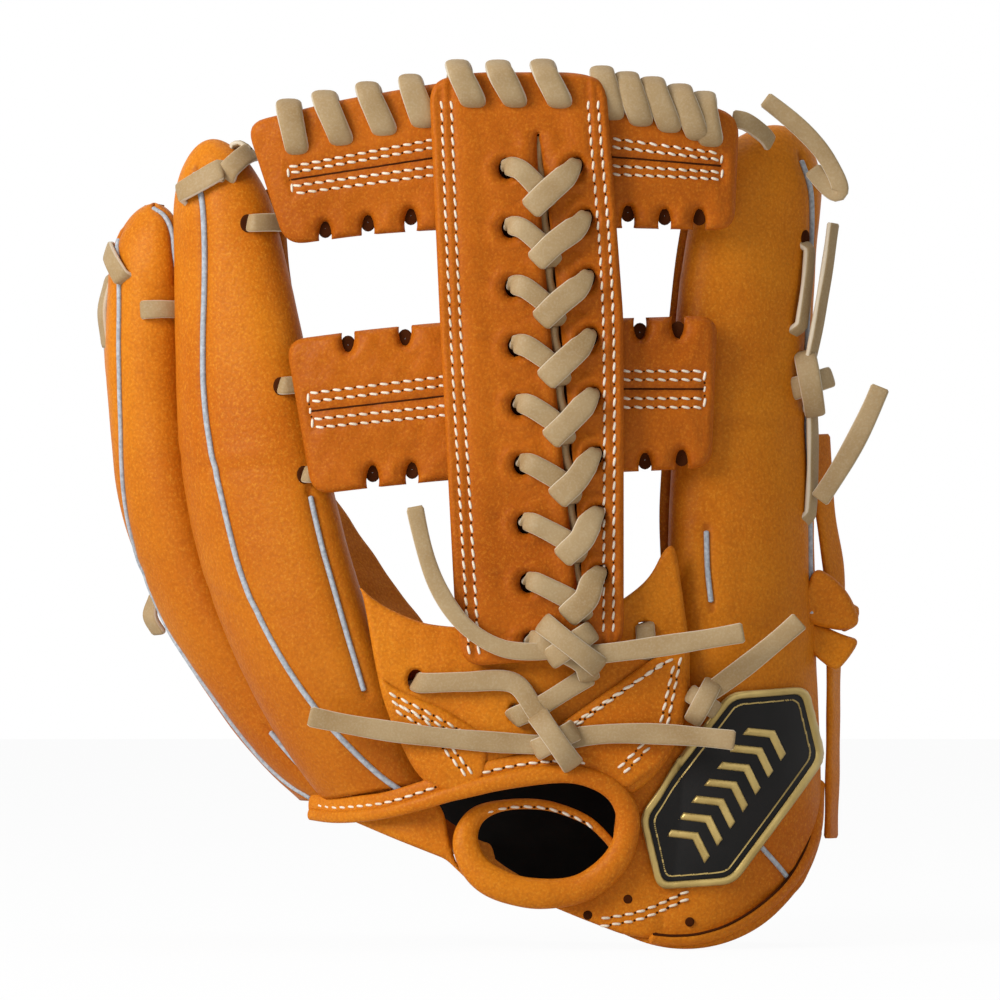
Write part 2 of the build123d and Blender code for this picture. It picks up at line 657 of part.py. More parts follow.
for name, piece in (
    ("index_stall", index_stall),
    ("middle_stall", middle_stall),
    ("ring_stall", ring_stall),
    ("little_stall", little_stall),
    ("thumb_heel", thumb_heel),
    ("thumb_stall", thumb_stall),
    ("palm_hide", palm_hide),
    ("thumb_palm", thumb_palm),
    ("palm_felt", palm_felt),
    ("palm_lining", palm_lining),
    ("back_roll", back_roll),
    ("strap_roll", strap_roll),
    ("wrist_strap", wrist_strap),
    ("finger_heel", finger_heel),
    ("web_post", web_post),
    ("web_top_bar", web_top_bar),
    ("web_lower_bar", web_lower_bar),
    ("web_base", web_base),
    ("index_welt", index_welt),
    ("middle_welt", middle_welt),
    ("thumb_welt", thumb_welt),
    ("heel_patch", heel_patch),
    ("top_lace", top_lace),
    ("post_lace", post_lace),
    ("base_lace", base_lace),
    ("side_lace", side_lace),
    ("index_lace", index_lace),
    ("middle_lace", middle_lace),
    ("thumb_lace", thumb_lace),
    ("pull_strap", pull_strap),
    ("pull_tail", pull_tail),
):
    export(piece, name)
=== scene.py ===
"""A left-hand infielder's baseball glove in oiled hide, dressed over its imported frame.

Lengths inside the classes are millimetres in the glove's own frame: +Z up the fingers, +X from the fingers to
the thumb, the web towards -Y. They become metres once, where a mesh is made.
"""

from __future__ import annotations

import logging
import math
from dataclasses import dataclass, field
from enum import Enum
from typing import Callable, Sequence

import bmesh
import bpy
import numpy as np
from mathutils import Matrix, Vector

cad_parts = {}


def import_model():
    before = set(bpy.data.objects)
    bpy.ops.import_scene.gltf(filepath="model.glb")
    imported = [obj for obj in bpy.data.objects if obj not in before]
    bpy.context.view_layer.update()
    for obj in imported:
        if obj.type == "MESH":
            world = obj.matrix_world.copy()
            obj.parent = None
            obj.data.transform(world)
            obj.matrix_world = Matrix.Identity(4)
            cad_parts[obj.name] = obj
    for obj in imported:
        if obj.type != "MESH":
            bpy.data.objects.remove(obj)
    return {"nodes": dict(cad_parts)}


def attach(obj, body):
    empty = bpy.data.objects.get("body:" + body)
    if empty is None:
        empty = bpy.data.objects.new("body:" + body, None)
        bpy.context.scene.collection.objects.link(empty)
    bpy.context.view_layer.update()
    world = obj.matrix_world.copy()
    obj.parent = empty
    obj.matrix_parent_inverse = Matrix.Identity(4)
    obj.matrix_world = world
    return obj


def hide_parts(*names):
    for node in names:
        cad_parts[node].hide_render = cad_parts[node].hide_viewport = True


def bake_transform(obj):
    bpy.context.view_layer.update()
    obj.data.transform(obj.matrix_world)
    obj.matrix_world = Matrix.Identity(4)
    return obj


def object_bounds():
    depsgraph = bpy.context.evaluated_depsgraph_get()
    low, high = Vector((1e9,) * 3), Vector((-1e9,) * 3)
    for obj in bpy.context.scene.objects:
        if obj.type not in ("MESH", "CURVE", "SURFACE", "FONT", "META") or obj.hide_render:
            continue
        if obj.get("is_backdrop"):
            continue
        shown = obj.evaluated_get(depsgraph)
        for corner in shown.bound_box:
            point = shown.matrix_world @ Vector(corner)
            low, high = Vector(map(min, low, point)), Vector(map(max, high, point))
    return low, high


LOG = logging.getLogger("glove")
MM = 0.001
LAY_SCALE = 10  # UV units to the metre, along and across a lace
Array = np.ndarray
Point2 = tuple[float, float]
Piece, Material = bpy.types.Object, bpy.types.Material
Tree, Node, Socket = bpy.types.NodeTree, bpy.types.Node, bpy.types.NodeSocket
TO_THE_FRONT = np.array([0.0, -1.0, 0.0])  # out of the glove's back, towards whoever looks at the web


class Body(Enum):
    """The glove's two moving bodies."""

    GLOVE = "glove"
    THUMB = "thumb"


# --- numbers and curves -----------------------------------------------------------------------
def smooth(value: Array | float, low: float, high: float) -> Array:
    """A soft step: 0 below low, 1 above high, cubic between them."""
    t = np.clip((np.asarray(value, float) - low) / (high - low), 0.0, 1.0)
    return t * t * (3.0 - 2.0 * t)


def bump_at(value: Array, centre: Array | float, width: float) -> Array:
    """A bell of height 1 around centre: exp(-(distance / width) squared)."""
    return np.exp(-(((value - centre) / width) ** 2))


def spline(points: Sequence[Sequence[float]], steps: int) -> Array:
    """A Catmull-Rom curve through points, read at this many steps between each two and at the last one."""
    p = np.asarray(points, float)
    p = np.vstack([2 * p[0] - p[1], p, 2 * p[-1] - p[-2]])
    t = np.linspace(0, 1, steps, endpoint=False)[:, None]
    parts = [0.5 * (2 * b + (c - a) * t + (2 * a - 5 * b + 4 * c - d) * t**2
                    + (3 * b - a - 3 * c + d) * t**3)
             for a, b, c, d in zip(p[:-3], p[1:-2], p[2:-1], p[3:])]
    return np.vstack([*parts, p[-2:-1]])


def run_along(line: Array) -> Array:
    """How far along a line each of its points lies."""
    return np.r_[0.0, np.cumsum(np.linalg.norm(np.diff(line, axis=0), axis=1))]


def even_steps(line: Array, count: int) -> Array:
    """The line read again at count even steps of its length."""
    run = run_along(line)
    at = np.linspace(0, run[-1], count)
    return np.stack([np.interp(at, run, line[:, k]) for k in range(line.shape[1])], axis=1)


def curve_through(points: Sequence[Sequence[float]], count: int) -> Array:
    """A smooth line through points, read at even steps of its length.

    Args:
        points: the points that the line goes through, in millimetres.
        count: how many points to return.

    Returns:
        An array of count rows.
    """
    return even_steps(spline(points, 24), count)


def unit(v: Array) -> Array:
    """Vectors scaled to length 1."""
    return v / np.maximum(np.linalg.norm(v, axis=-1, keepdims=True), 1e-9)


def tangents(line: Array) -> Array:
    """Unit directions along a line of points."""
    return unit(np.gradient(line, axis=0))


def grid_normals(points: Array) -> Array:
    """Unit normals of a surface grid of rows by columns by 3: the cross product of its two directions."""
    return unit(np.cross(np.gradient(points, axis=1), np.gradient(points, axis=0)))


def ripple(points: Array, wave: float, seed: int) -> Array:
    """Slow unevenness of hand-formed hide, within 1: five crossed sine waves of about the given length."""
    rng = np.random.default_rng(seed)
    total = np.zeros(points.shape[:-1])
    for _ in range(5):
        way = unit(rng.normal(size=3)) * 2 * math.pi / (wave * rng.uniform(0.7, 1.5))
        total += np.sin(points @ way + rng.uniform(0, 2 * math.pi))
    return total / 3.2


# --- meshes -----------------------------------------------------------------------------------
def grid_faces(rows: int, cols: int, closed: bool = False) -> Array:
    """Quads of a grid of rows by cols points; with closed, the last column meets the first."""
    r, c = np.meshgrid(np.arange(rows - 1), np.arange(cols if closed else cols - 1), indexing="ij")
    right = (c + 1) % cols
    quads = [r * cols + c, r * cols + right, (r + 1) * cols + right, (r + 1) * cols + c]
    return np.stack(quads, -1).reshape(-1, 4)


def repeated(faces: Array, count: int) -> Array:
    """The quads of count equal patches, one after the other."""
    size = faces.max() + 1
    return (faces[None] + (np.arange(count) * size)[:, None, None]).reshape(-1, 4)


@dataclass
class Pile:
    """Vertices, quads and their values gathered into one mesh."""

    verts: list[Array] = field(default_factory=list)
    quads: list[Array] = field(default_factory=list)
    uvs: list[Array] = field(default_factory=list)
    painted_shade: list[Array] = field(default_factory=list)
    size: int = 0

    def add(self, verts: Array, quads: Array, uv: Array | None = None, painted_shade: Array | float = 0.0) -> None:
        """Adds a patch.

        Args:
            verts: N by 3, in millimetres.
            quads: M by 4 indices into verts.
            uv: N by 2 values for the pattern, in millimetres along and across.
            painted_shade: N values, or one, for how much painted shade darkens the surface, 0 to 1.
        """
        flat = verts.reshape(-1, 3)
        self.verts.append(flat)
        self.quads.append(quads + self.size)
        self.uvs.append(np.zeros((len(flat), 2)) if uv is None else uv.reshape(-1, 2))
        self.painted_shade.append(np.broadcast_to(np.asarray(painted_shade, float).reshape(-1), (len(flat),)))
        self.size += len(flat)

    def add_grid(self, points: Array, closed: bool = False, uv: Array | None = None,
                 painted_shade: Array | float = 0.0) -> None:
        """Adds a grid of rows by columns by 3."""
        self.add(points, grid_faces(points.shape[0], points.shape[1], closed), uv, painted_shade)

    def mesh(self, name: str, weld: float = 0.0) -> Piece:
        """Makes the gathered mesh as an object at the origin.

        Args:
            name: the piece's name.
            weld: points closer than this, in millimetres, become one.
        """
        verts = np.concatenate(self.verts) * MM
        quads = np.concatenate(self.quads)
        data = bpy.data.meshes.new(name)
        data.from_pydata(verts.tolist(), [], quads.tolist())
        loops = np.zeros(len(data.loops), np.int32)
        data.loops.foreach_get("vertex_index", loops)
        layer = data.uv_layers.new(name="lay")
        lays = np.concatenate(self.uvs)[loops] * MM * LAY_SCALE
        layer.data.foreach_set("uv", lays.astype(np.float32).ravel())
        # the painted shade of each point, which the hide and lace finishes read
        dark = data.attributes.new("painted_shade", "FLOAT", "POINT")
        dark.data.foreach_set("value", np.concatenate(self.painted_shade).astype(np.float32))
        data.polygons.foreach_set("use_smooth", np.ones(len(data.polygons), bool))
        piece = bpy.data.objects.new(name, data)
        bpy.context.scene.collection.objects.link(piece)
        if weld > 0:
            weld_points(data, weld * MM)
        data.validate()
        return piece


def weld_points(data: bpy.types.Mesh, distance: float) -> None:
    """Merges the mesh's points closer than distance, in metres, and drops the faces that this flattens."""
    work = bmesh.new()
    work.from_mesh(data)
    bmesh.ops.remove_doubles(work, verts=work.verts, dist=distance)
    bmesh.ops.dissolve_degenerate(work, dist=distance / 10, edges=work.edges)
    work.to_mesh(data)
    work.free()


def thicken(piece: Piece, thickness: float) -> None:
    """Gives a skin its thickness inwards, in millimetres."""
    wall = piece.modifiers.new("hide", "SOLIDIFY")
    wall.thickness = thickness * MM
    wall.offset = -1.0
    wall.use_even_offset = False


# --- finishes ---------------------------------------------------------------------------------
def linear(code: str) -> tuple[float, float, float, float]:
    """A hex sRGB colour as linear RGBA."""
    parts = [int(code[i:i + 2], 16) / 255 for i in (1, 3, 5)]
    return (*[c / 12.92 if c <= 0.04045 else ((c + 0.055) / 1.055) ** 2.4 for c in parts], 1.0)


def add_node(tree: Tree, kind: str, settings: dict | None = None, inputs: dict | None = None) -> Node:
    """Adds a shader node.

    Args:
        tree: the node tree.
        kind: the node's type name.
        settings: attributes to set on it.
        inputs: input name or index to a value or to another node's output.
    """
    node = tree.nodes.new(kind)
    for key, value in (settings or {}).items():
        setattr(node, key, value)
    for key, value in (inputs or {}).items():
        if isinstance(value, Socket):
            tree.links.new(value, node.inputs[key])
        else:
            node.inputs[key].default_value = value
    return node


def new_material(name: str) -> tuple[Material, Tree, Node]:
    """An empty material with its output node."""
    material = bpy.data.materials.new(name)
    material.use_nodes = True
    tree = material.node_tree
    tree.nodes.clear()
    return material, tree, add_node(tree, "ShaderNodeOutputMaterial")


def tint(tree: Tree, base: object, pattern: Socket, low: float, high: float, most: float,
         colour: str) -> Socket:
    """The base drawn towards a colour where a pattern is high.

    Args:
        tree: the node tree.
        base: the colour so far.
        pattern: where it changes.
        low: the pattern's value where it starts.
        high: the pattern's value where it is strongest.
        most: its strongest share, 0 to 1.
        colour: hex sRGB.

    Returns:
        The new colour.
    """
    share = add_node(tree, "ShaderNodeMapRange", None, {0: pattern, 1: low, 2: high, 3: 0.0, 4: most})
    mix = add_node(tree, "ShaderNodeMix", {"data_type": "RGBA"},
                   {0: share.outputs[0], 6: base, 7: linear(colour)})
    return mix.outputs[2]


@dataclass(frozen=True)
class HideFinish:
    """Steerhide, tanned, dyed through and oiled: a close pebble of pores, satin, and painted shade, darker
    and redder, where each piece asks for it.
    """

    name: str = "oiled_steerhide"
    colour: str = "#D07A15"
    deep: str = "#BC620B"
    # crease: darkens the pores, and is the colour of the painted shade in creases, seam valleys, hollows and
    # low towards the palm
    crease: str = "#782A06"
    pale: str = "#E59A2E"
    grain_mm: float = 0.95  # real pores are nearer half of this: drawn as coarse as they need to show
    fibre_mm: float = 6.0
    speck_mm: float = 0.9
    cloud_mm: float = 55.0
    depth_mm: float = 0.15
    roughness: float = 0.46

    def build(self) -> Material:
        """Makes the material: cloudy dye, a pebble of smooth cells, and the painted shade that each piece
        carries.
        """
        material, tree, out = new_material(self.name)
        place = add_node(tree, "ShaderNodeTexCoord").outputs["Object"]
        cloud, fibre, speck = (
            add_node(tree, "ShaderNodeTexNoise", None,
                     {"Vector": place, "Scale": 1 / (size * MM), "Detail": detail, "Roughness": rough})
            for size, detail, rough in ((self.cloud_mm, 4.0, 0.5), (self.fibre_mm, 5.0, 0.6),
                                        (self.speck_mm, 2.0, 0.7)))
        pull = add_node(tree, "ShaderNodeMix", {"data_type": "VECTOR"},
                        {0: 0.0018, 4: place, 5: fibre.outputs["Color"]})
        grain = add_node(tree, "ShaderNodeTexVoronoi", {"feature": "SMOOTH_F1"},
                         {"Vector": pull.outputs[1], "Scale": 1 / (self.grain_mm * MM), "Smoothness": 0.5})
        painted_shade = add_node(tree, "ShaderNodeAttribute", {"attribute_name": "painted_shade"})
        base = tint(tree, linear(self.colour), cloud.outputs[0], 0.38, 0.68, 1.0, self.deep)
        base = tint(tree, base, fibre.outputs[0], 0.5, 0.8, 0.22, self.deep)
        base = tint(tree, base, speck.outputs[0], 0.5, 0.72, 0.45, self.pale)
        base = tint(tree, base, grain.outputs[0], 0.35, 0.8, 0.2, self.crease)
        # painted shade: the piece's painted_shade attribute draws the hide towards the crease colour
        base = tint(tree, base, painted_shade.outputs["Fac"], 0.0, 1.0, 1.0, self.crease)
        height = add_node(tree, "ShaderNodeMath", {"operation": "MULTIPLY_ADD"},
                          {0: fibre.outputs[0], 1: 0.5, 2: grain.outputs[0]})
        bump = add_node(tree, "ShaderNodeBump", {"invert": True},
                        {"Strength": 0.6, "Distance": self.depth_mm * MM, "Height": height.outputs[0]})
        rough = add_node(tree, "ShaderNodeMapRange", None,
                         {0: fibre.outputs[0], 1: 0.3, 2: 0.7,
                          3: self.roughness - 0.04, 4: self.roughness + 0.07})
        shader = add_node(tree, "ShaderNodeBsdfPrincipled", None,
                          {"Base Color": base, "Roughness": rough.outputs[0], "IOR": 1.45,
                           "Normal": bump.outputs[0], "Specular IOR Level": 0.12})
        tree.links.new(shader.outputs[0], out.inputs[0])
        return material


@dataclass(frozen=True)
class LaceFinish:
    """Rawhide lace: split cowhide, matt, smooth on its faces, with paler fibres on its cut edges."""

    name: str = "rawhide_lace"
    colour: str = "#AA9069"
    shade: str = "#997D55"
    edge: str = "#D9CDB6"
    # dark brown that the painted shade draws the lace towards
    hollow_shade: str = "#4A3B22"
    half_width: float = 3.2
    cloud_mm: float = 16.0
    speck_mm: float = 0.7
    depth_mm: float = 0.08
    roughness: float = 0.55

    def build(self) -> Material:
        """Makes the material: fibres drawn out along the lace, and paler cut edges."""
        material, tree, out = new_material(self.name)
        place = add_node(tree, "ShaderNodeTexCoord").outputs["Object"]
        lay = add_node(tree, "ShaderNodeUVMap", {"uv_map": "lay"}).outputs[0]
        parts = add_node(tree, "ShaderNodeSeparateXYZ", None, {0: lay})
        across = add_node(tree, "ShaderNodeMath", {"operation": "ABSOLUTE"}, {0: parts.outputs[1]})
        cloud, speck = (
            add_node(tree, "ShaderNodeTexNoise", None,
                     {"Vector": place, "Scale": 1 / (size * MM), "Detail": detail})
            for size, detail in ((self.cloud_mm, 4.0), (self.speck_mm, 3.0)))
        stretch = add_node(tree, "ShaderNodeMapping", None, {0: lay, 3: (0.25, 3.0, 1.0)})
        fibre = add_node(tree, "ShaderNodeTexNoise", None,
                         {"Vector": stretch.outputs[0], "Scale": 60.0, "Detail": 4.0, "Roughness": 0.65})
        base = tint(tree, linear(self.colour), cloud.outputs[0], 0.35, 0.7, 1.0, self.shade)
        base = tint(tree, base, speck.outputs[0], 0.45, 0.75, 0.14, self.edge)
        rim = self.half_width * MM * LAY_SCALE
        base = tint(tree, base, across.outputs[0], rim * 0.9, rim * 0.995, 0.9, self.edge)
        # painted shade: the piece's painted_shade attribute darkens the lace towards dark brown
        painted_shade = add_node(tree, "ShaderNodeAttribute", {"attribute_name": "painted_shade"})
        base = tint(tree, base, painted_shade.outputs["Fac"], 0.0, 1.0, 1.0, self.hollow_shade)
        height = add_node(tree, "ShaderNodeMath", {"operation": "ADD"},
                          {0: fibre.outputs[0], 1: speck.outputs[0]})
        bump = add_node(tree, "ShaderNodeBump", None,
                        {"Strength": 0.4, "Distance": self.depth_mm * MM, "Height": height.outputs[0]})
        shader = add_node(tree, "ShaderNodeBsdfPrincipled", None,
                          {"Base Color": base, "Roughness": self.roughness, "IOR": 1.45,
                           "Normal": bump.outputs[0], "Specular IOR Level": 0.2})
        tree.links.new(shader.outputs[0], out.inputs[0])
        return material


@dataclass(frozen=True)
class PlainFinish:
    """A dyed or moulded surface with a little cloudiness and a fine tooth of the given size."""

    name: str
    colour: str
    shade: str
    tooth_mm: float
    depth_mm: float
    roughness: float
    metallic: float = 0.0
    cloud_mm: float = 14.0
    specular: float = 0.25

    def build(self) -> Material:
        """Makes the material."""
        material, tree, out = new_material(self.name)
        place = add_node(tree, "ShaderNodeTexCoord").outputs["Object"]
        cloud, tooth = (
            add_node(tree, "ShaderNodeTexNoise", None,
                     {"Vector": place, "Scale": 1 / (size * MM), "Detail": detail})
            for size, detail in ((self.cloud_mm, 4.0), (self.tooth_mm, 3.0)))
        base = tint(tree, linear(self.colour), cloud.outputs[0], 0.35, 0.7, 1.0, self.shade)
        bump = add_node(tree, "ShaderNodeBump", None,
                        {"Strength": 0.5, "Distance": self.depth_mm * MM, "Height": tooth.outputs[0]})
        shader = add_node(tree, "ShaderNodeBsdfPrincipled", None,
                          {"Base Color": base, "Roughness": self.roughness, "Metallic": self.metallic,
                           "Normal": bump.outputs[0], "Specular IOR Level": self.specular})
        tree.links.new(shader.outputs[0], out.inputs[0])
        return material


@dataclass
class Finishes:
    """Every material of the glove, made once."""

    hide: Material
    palm: Material
    web: Material
    lace: Material
    welt: Material
    thread: Material
    needle: Material
    lining: Material
    felt: Material
    field: Material
    gilt: Material
    raw: Material

    @classmethod
    def make(cls) -> Finishes:
        """Makes them all."""
        return cls(
            # shell: bright tan-orange, oiled to a satin, flecked with fine pale specks
            hide=HideFinish().build(),
            # pocket face: the same hide seen from its duller, browner palm side
            palm=HideFinish(name="palm_steerhide", colour="#C8741F", deep="#B26414", roughness=0.5).build(),
            # web: a stiffer cut that stands off the fingers, its colour set darker and redder than the
            # shell's partly as painted shade, the web lying in less light than the fingers
            web=HideFinish(name="web_steerhide", colour="#BA610F", deep="#A65208", pale="#D38224").build(),
            # lace: pale straw strips that draw the glove's ladder and knots
            lace=LaceFinish().build(),
            # welts: cool grey lines down each digit, the one cold colour on the glove
            welt=PlainFinish("waxed_grey_piping", "#B4B9BE", "#8F959B", 0.5, 0.1, 0.5, cloud_mm=1.2).build(),
            # thread: cream ticks, a little brighter than the lace
            thread=PlainFinish("bonded_nylon_thread", "#EFE3D0", "#DCCBB0", 0.35, 0.06, 0.5).build(),
            # needle holes, punched holes and slits: dark brown painted shade for their insides, which sets
            # the stitches apart; also thin dark lines along seams
            needle=PlainFinish("needle_hole", "#4A230C", "#331505", 0.5, 0.02, 0.9, specular=0.05).build(),
            # lining: dead black depth behind the wrist window
            lining=PlainFinish("dyed_black_lining", "#120F0D", "#0B0908", 0.9, 0.1, 0.85,
                               specular=0.05).build(),
            # pad: off-white wool, met only where the palm is opened
            felt=PlainFinish("pressed_wool_felt", "#D6CFBE", "#BFB7A4", 0.4, 0.25, 0.95).build(),
            # badge field: flat rubber black that the gilt stands out from
            field=PlainFinish("moulded_black_rubber", "#161514", "#1D1B1A", 0.5, 0.06, 0.6,
                              specular=0.15).build(),
            # badge rim and chevrons: muted old gold with a soft glint on its edges
            gilt=PlainFinish("gilded_moulding", "#BFA564", "#9E8449", 0.6, 0.08, 0.36, 0.6,
                             specular=0.5).build(),
            # cut edges: undyed hide, a pale line round every flat-cut piece
            raw=PlainFinish("raw_cut_hide", "#D9A56B", "#C48B50", 0.6, 0.1, 0.75).build(),
        )


def settle(piece: Piece, material: Material, replaces: Sequence[str] = ()) -> None:
    """Gives a piece its finish and the frame nodes that it stands for, and leaves its body open."""
    piece.data.materials.clear()
    piece.data.materials.append(material)
    if replaces:
        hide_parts(*replaces)


def dress(piece: Piece, material: Material, body: Body,
          replaces: Sequence[str] = ()) -> None:
    """Settles a piece that rides whole on one body."""
    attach(piece, body.value)
    settle(piece, material, replaces)
    LOG.info("%s: %d points on %s", piece.name, len(piece.data.vertices), body.value)


# --- the digits -------------------------------------------------------------------------------
RIM_SLOPE = math.radians(22.5)
HEEL_X, HEEL_Z, HEEL_RADIUS = 40.0, 29.0, 44.8
HEEL_END = 84.7  # x where the heel's round corner stops
DOME_ROWS = 26  # rows of points over a stall's tip


def wrist_rim(x: Array) -> Array:
    """Height of the wrist rim at x: a tilted straight edge that runs into the heel's round corner."""
    touch_x = HEEL_X - HEEL_RADIUS * math.sin(RIM_SLOPE)
    touch_z = HEEL_Z - HEEL_RADIUS * math.cos(RIM_SLOPE)
    sunk = np.clip(HEEL_RADIUS**2 - (np.minimum(x, HEEL_END) - HEEL_X) ** 2, 0.0, None)
    return np.where(x < touch_x, touch_z + (touch_x - x) * math.tan(RIM_SLOPE), HEEL_Z - np.sqrt(sunk))


@dataclass(frozen=True)
class Digit:
    """A finger or thumb stall, from its tip down to its base.

    Each station holds a height, the middle's x and y, half the width along the hand, half the thickness and
    the lean in degrees; between them they follow one cubic.
    """

    name: str
    tip: float
    dome: float
    stations: tuple[tuple[float, float, float, float, float, float], ...]

    def values(self, z: Array) -> Array:
        """x, y, half width, half thickness and lean at heights z."""
        s = np.asarray(self.stations, float)
        z = np.asarray(z, float)
        out = np.zeros(z.shape + (5,))
        for i, row in enumerate(s):
            others = np.delete(s[:, 0], i)
            weight = np.prod([(z - o) / (row[0] - o) for o in others], axis=0)
            out += weight[..., None] * row[1:]
        return out

    def at(self, z: Array, angle: Array, off: Array | float = 0.0) -> Array:
        """Points of the skin.

        Args:
            z: heights.
            angle: degrees from the crown of the back, positive towards the finger side.
            off: how far the points stand off the skin.
        """
        z, angle, off = np.broadcast_arrays(np.asarray(z, float), angle, off)
        x, y, a, b, lean = np.moveaxis(self.values(z), -1, 0)
        rise = np.clip((z - self.tip + self.dome) / self.dome, 0.0, 1.0)
        round_off = np.sqrt(1.0 - rise**2)
        turn, lean = np.radians(angle), np.radians(lean)
        side = -(a + off) * round_off * np.sin(turn)
        out = (b + off) * round_off * np.cos(turn)
        return np.stack([x + np.cos(lean) * side - np.sin(lean) * out,
                         y - np.sin(lean) * side - np.cos(lean) * out, z + off * rise], -1)

    def normal(self, z: Array, angle: Array) -> Array:
        """Unit directions out of the skin."""
        step = 0.4
        up = self.at(np.asarray(z) + step, angle) - self.at(np.asarray(z) - step, angle)
        round_it = self.at(z, np.asarray(angle) - step) - self.at(z, np.asarray(angle) + step)
        return unit(np.cross(round_it, up))

    def front(self, x: Array, z: Array) -> Array:
        """The angle whose skin point lies at x and z on the side that faces -Y."""
        x0, _, a, b, lean = np.moveaxis(self.values(z), -1, 0)
        lean = np.radians(lean)
        round_off = np.sqrt(1.0 - np.clip((z - self.tip + self.dome) / self.dome, 0.0, 0.98) ** 2)
        p, q = -np.cos(lean) * a * round_off, -np.sin(lean) * b * round_off
        middle = np.arctan2(p, q)
        spread = np.arccos(np.clip((x - x0) / np.hypot(p, q), -1.0, 1.0))
        first, second = np.degrees(middle + spread), np.degrees(middle - spread)
        nearer = self.at(z, first)[..., 1] <= self.at(z, second)[..., 1]
        turned = np.where(nearer, first, second)
        return (turned + 180.0) % 360.0 - 180.0


INDEX = Digit("index", 241, 26, (
    (220, -107, -28, 17.5, 12.5, 33), (157, -99.5, -31, 24.0, 15.0, 31),
    (94, -86, -36, 26.5, 15.5, 28), (20, -47, -36, 20.0, 12.0, 25)))
MIDDLE = Digit("middle", 220, 24, (
    (200, -131, -6, 15.0, 12.0, 58), (157, -131, -4, 16.5, 13.0, 62),
    (94, -116, -4, 17.5, 13.0, 64), (20, -61, -9, 15.0, 11.0, 60)))
RING = Digit("ring", 205, 22, (
    (187, -134, 24, 13.0, 11.5, 88), (157, -132, 26.5, 14.5, 12.0, 95),
    (94, -109, 28, 16.0, 12.5, 108), (20, -52, 19, 14.0, 10.5, 103)))
LITTLE = Digit("little", 182, 20, (
    (165, -122, 53, 14.0, 10.5, 125), (126, -101, 57, 20.5, 12.0, 146),
    (94, -82, 56, 23.0, 12.0, 154), (20, -34, 40, 16.5, 10.0, 152)))
THUMB = Digit("thumb", 246, 24, (
    (220, 63, -25, 24.0, 13.5, -40), (157, 58, -27, 26.5, 15.0, -40),
    (94, 58, -29, 27.5, 16.0, -40), (20, 55, -27, 33.0, 20.0, -38)))


def as_seen(digit: Digit, points: Sequence[Point2]) -> tuple[Point2, ...]:
    """A course on a digit's front, from x and z to heights and angles."""
    x, z = np.asarray(points, float).T
    return tuple(zip(z.tolist(), digit.front(x, z).tolist()))


@dataclass(frozen=True)
class Seam:
    """A welted seam: its course as heights and angles, and the radius of the cord sewn into it."""

    name: str
    course: tuple[Point2, ...]
    radius: float = 0.95
    replaces: tuple[str, ...] = ()

    def angle(self, z: Array) -> Array:
        """The seam's angle at heights z, far away beyond its ends."""
        line = curve_through(self.course, 120)
        order = np.argsort(line[:, 0])
        found = np.interp(z, line[order, 0], line[order, 1])
        low, high = line[:, 0].min() - 3, line[:, 0].max() + 3
        return np.where((z > low) & (z < high), found, 999.0)


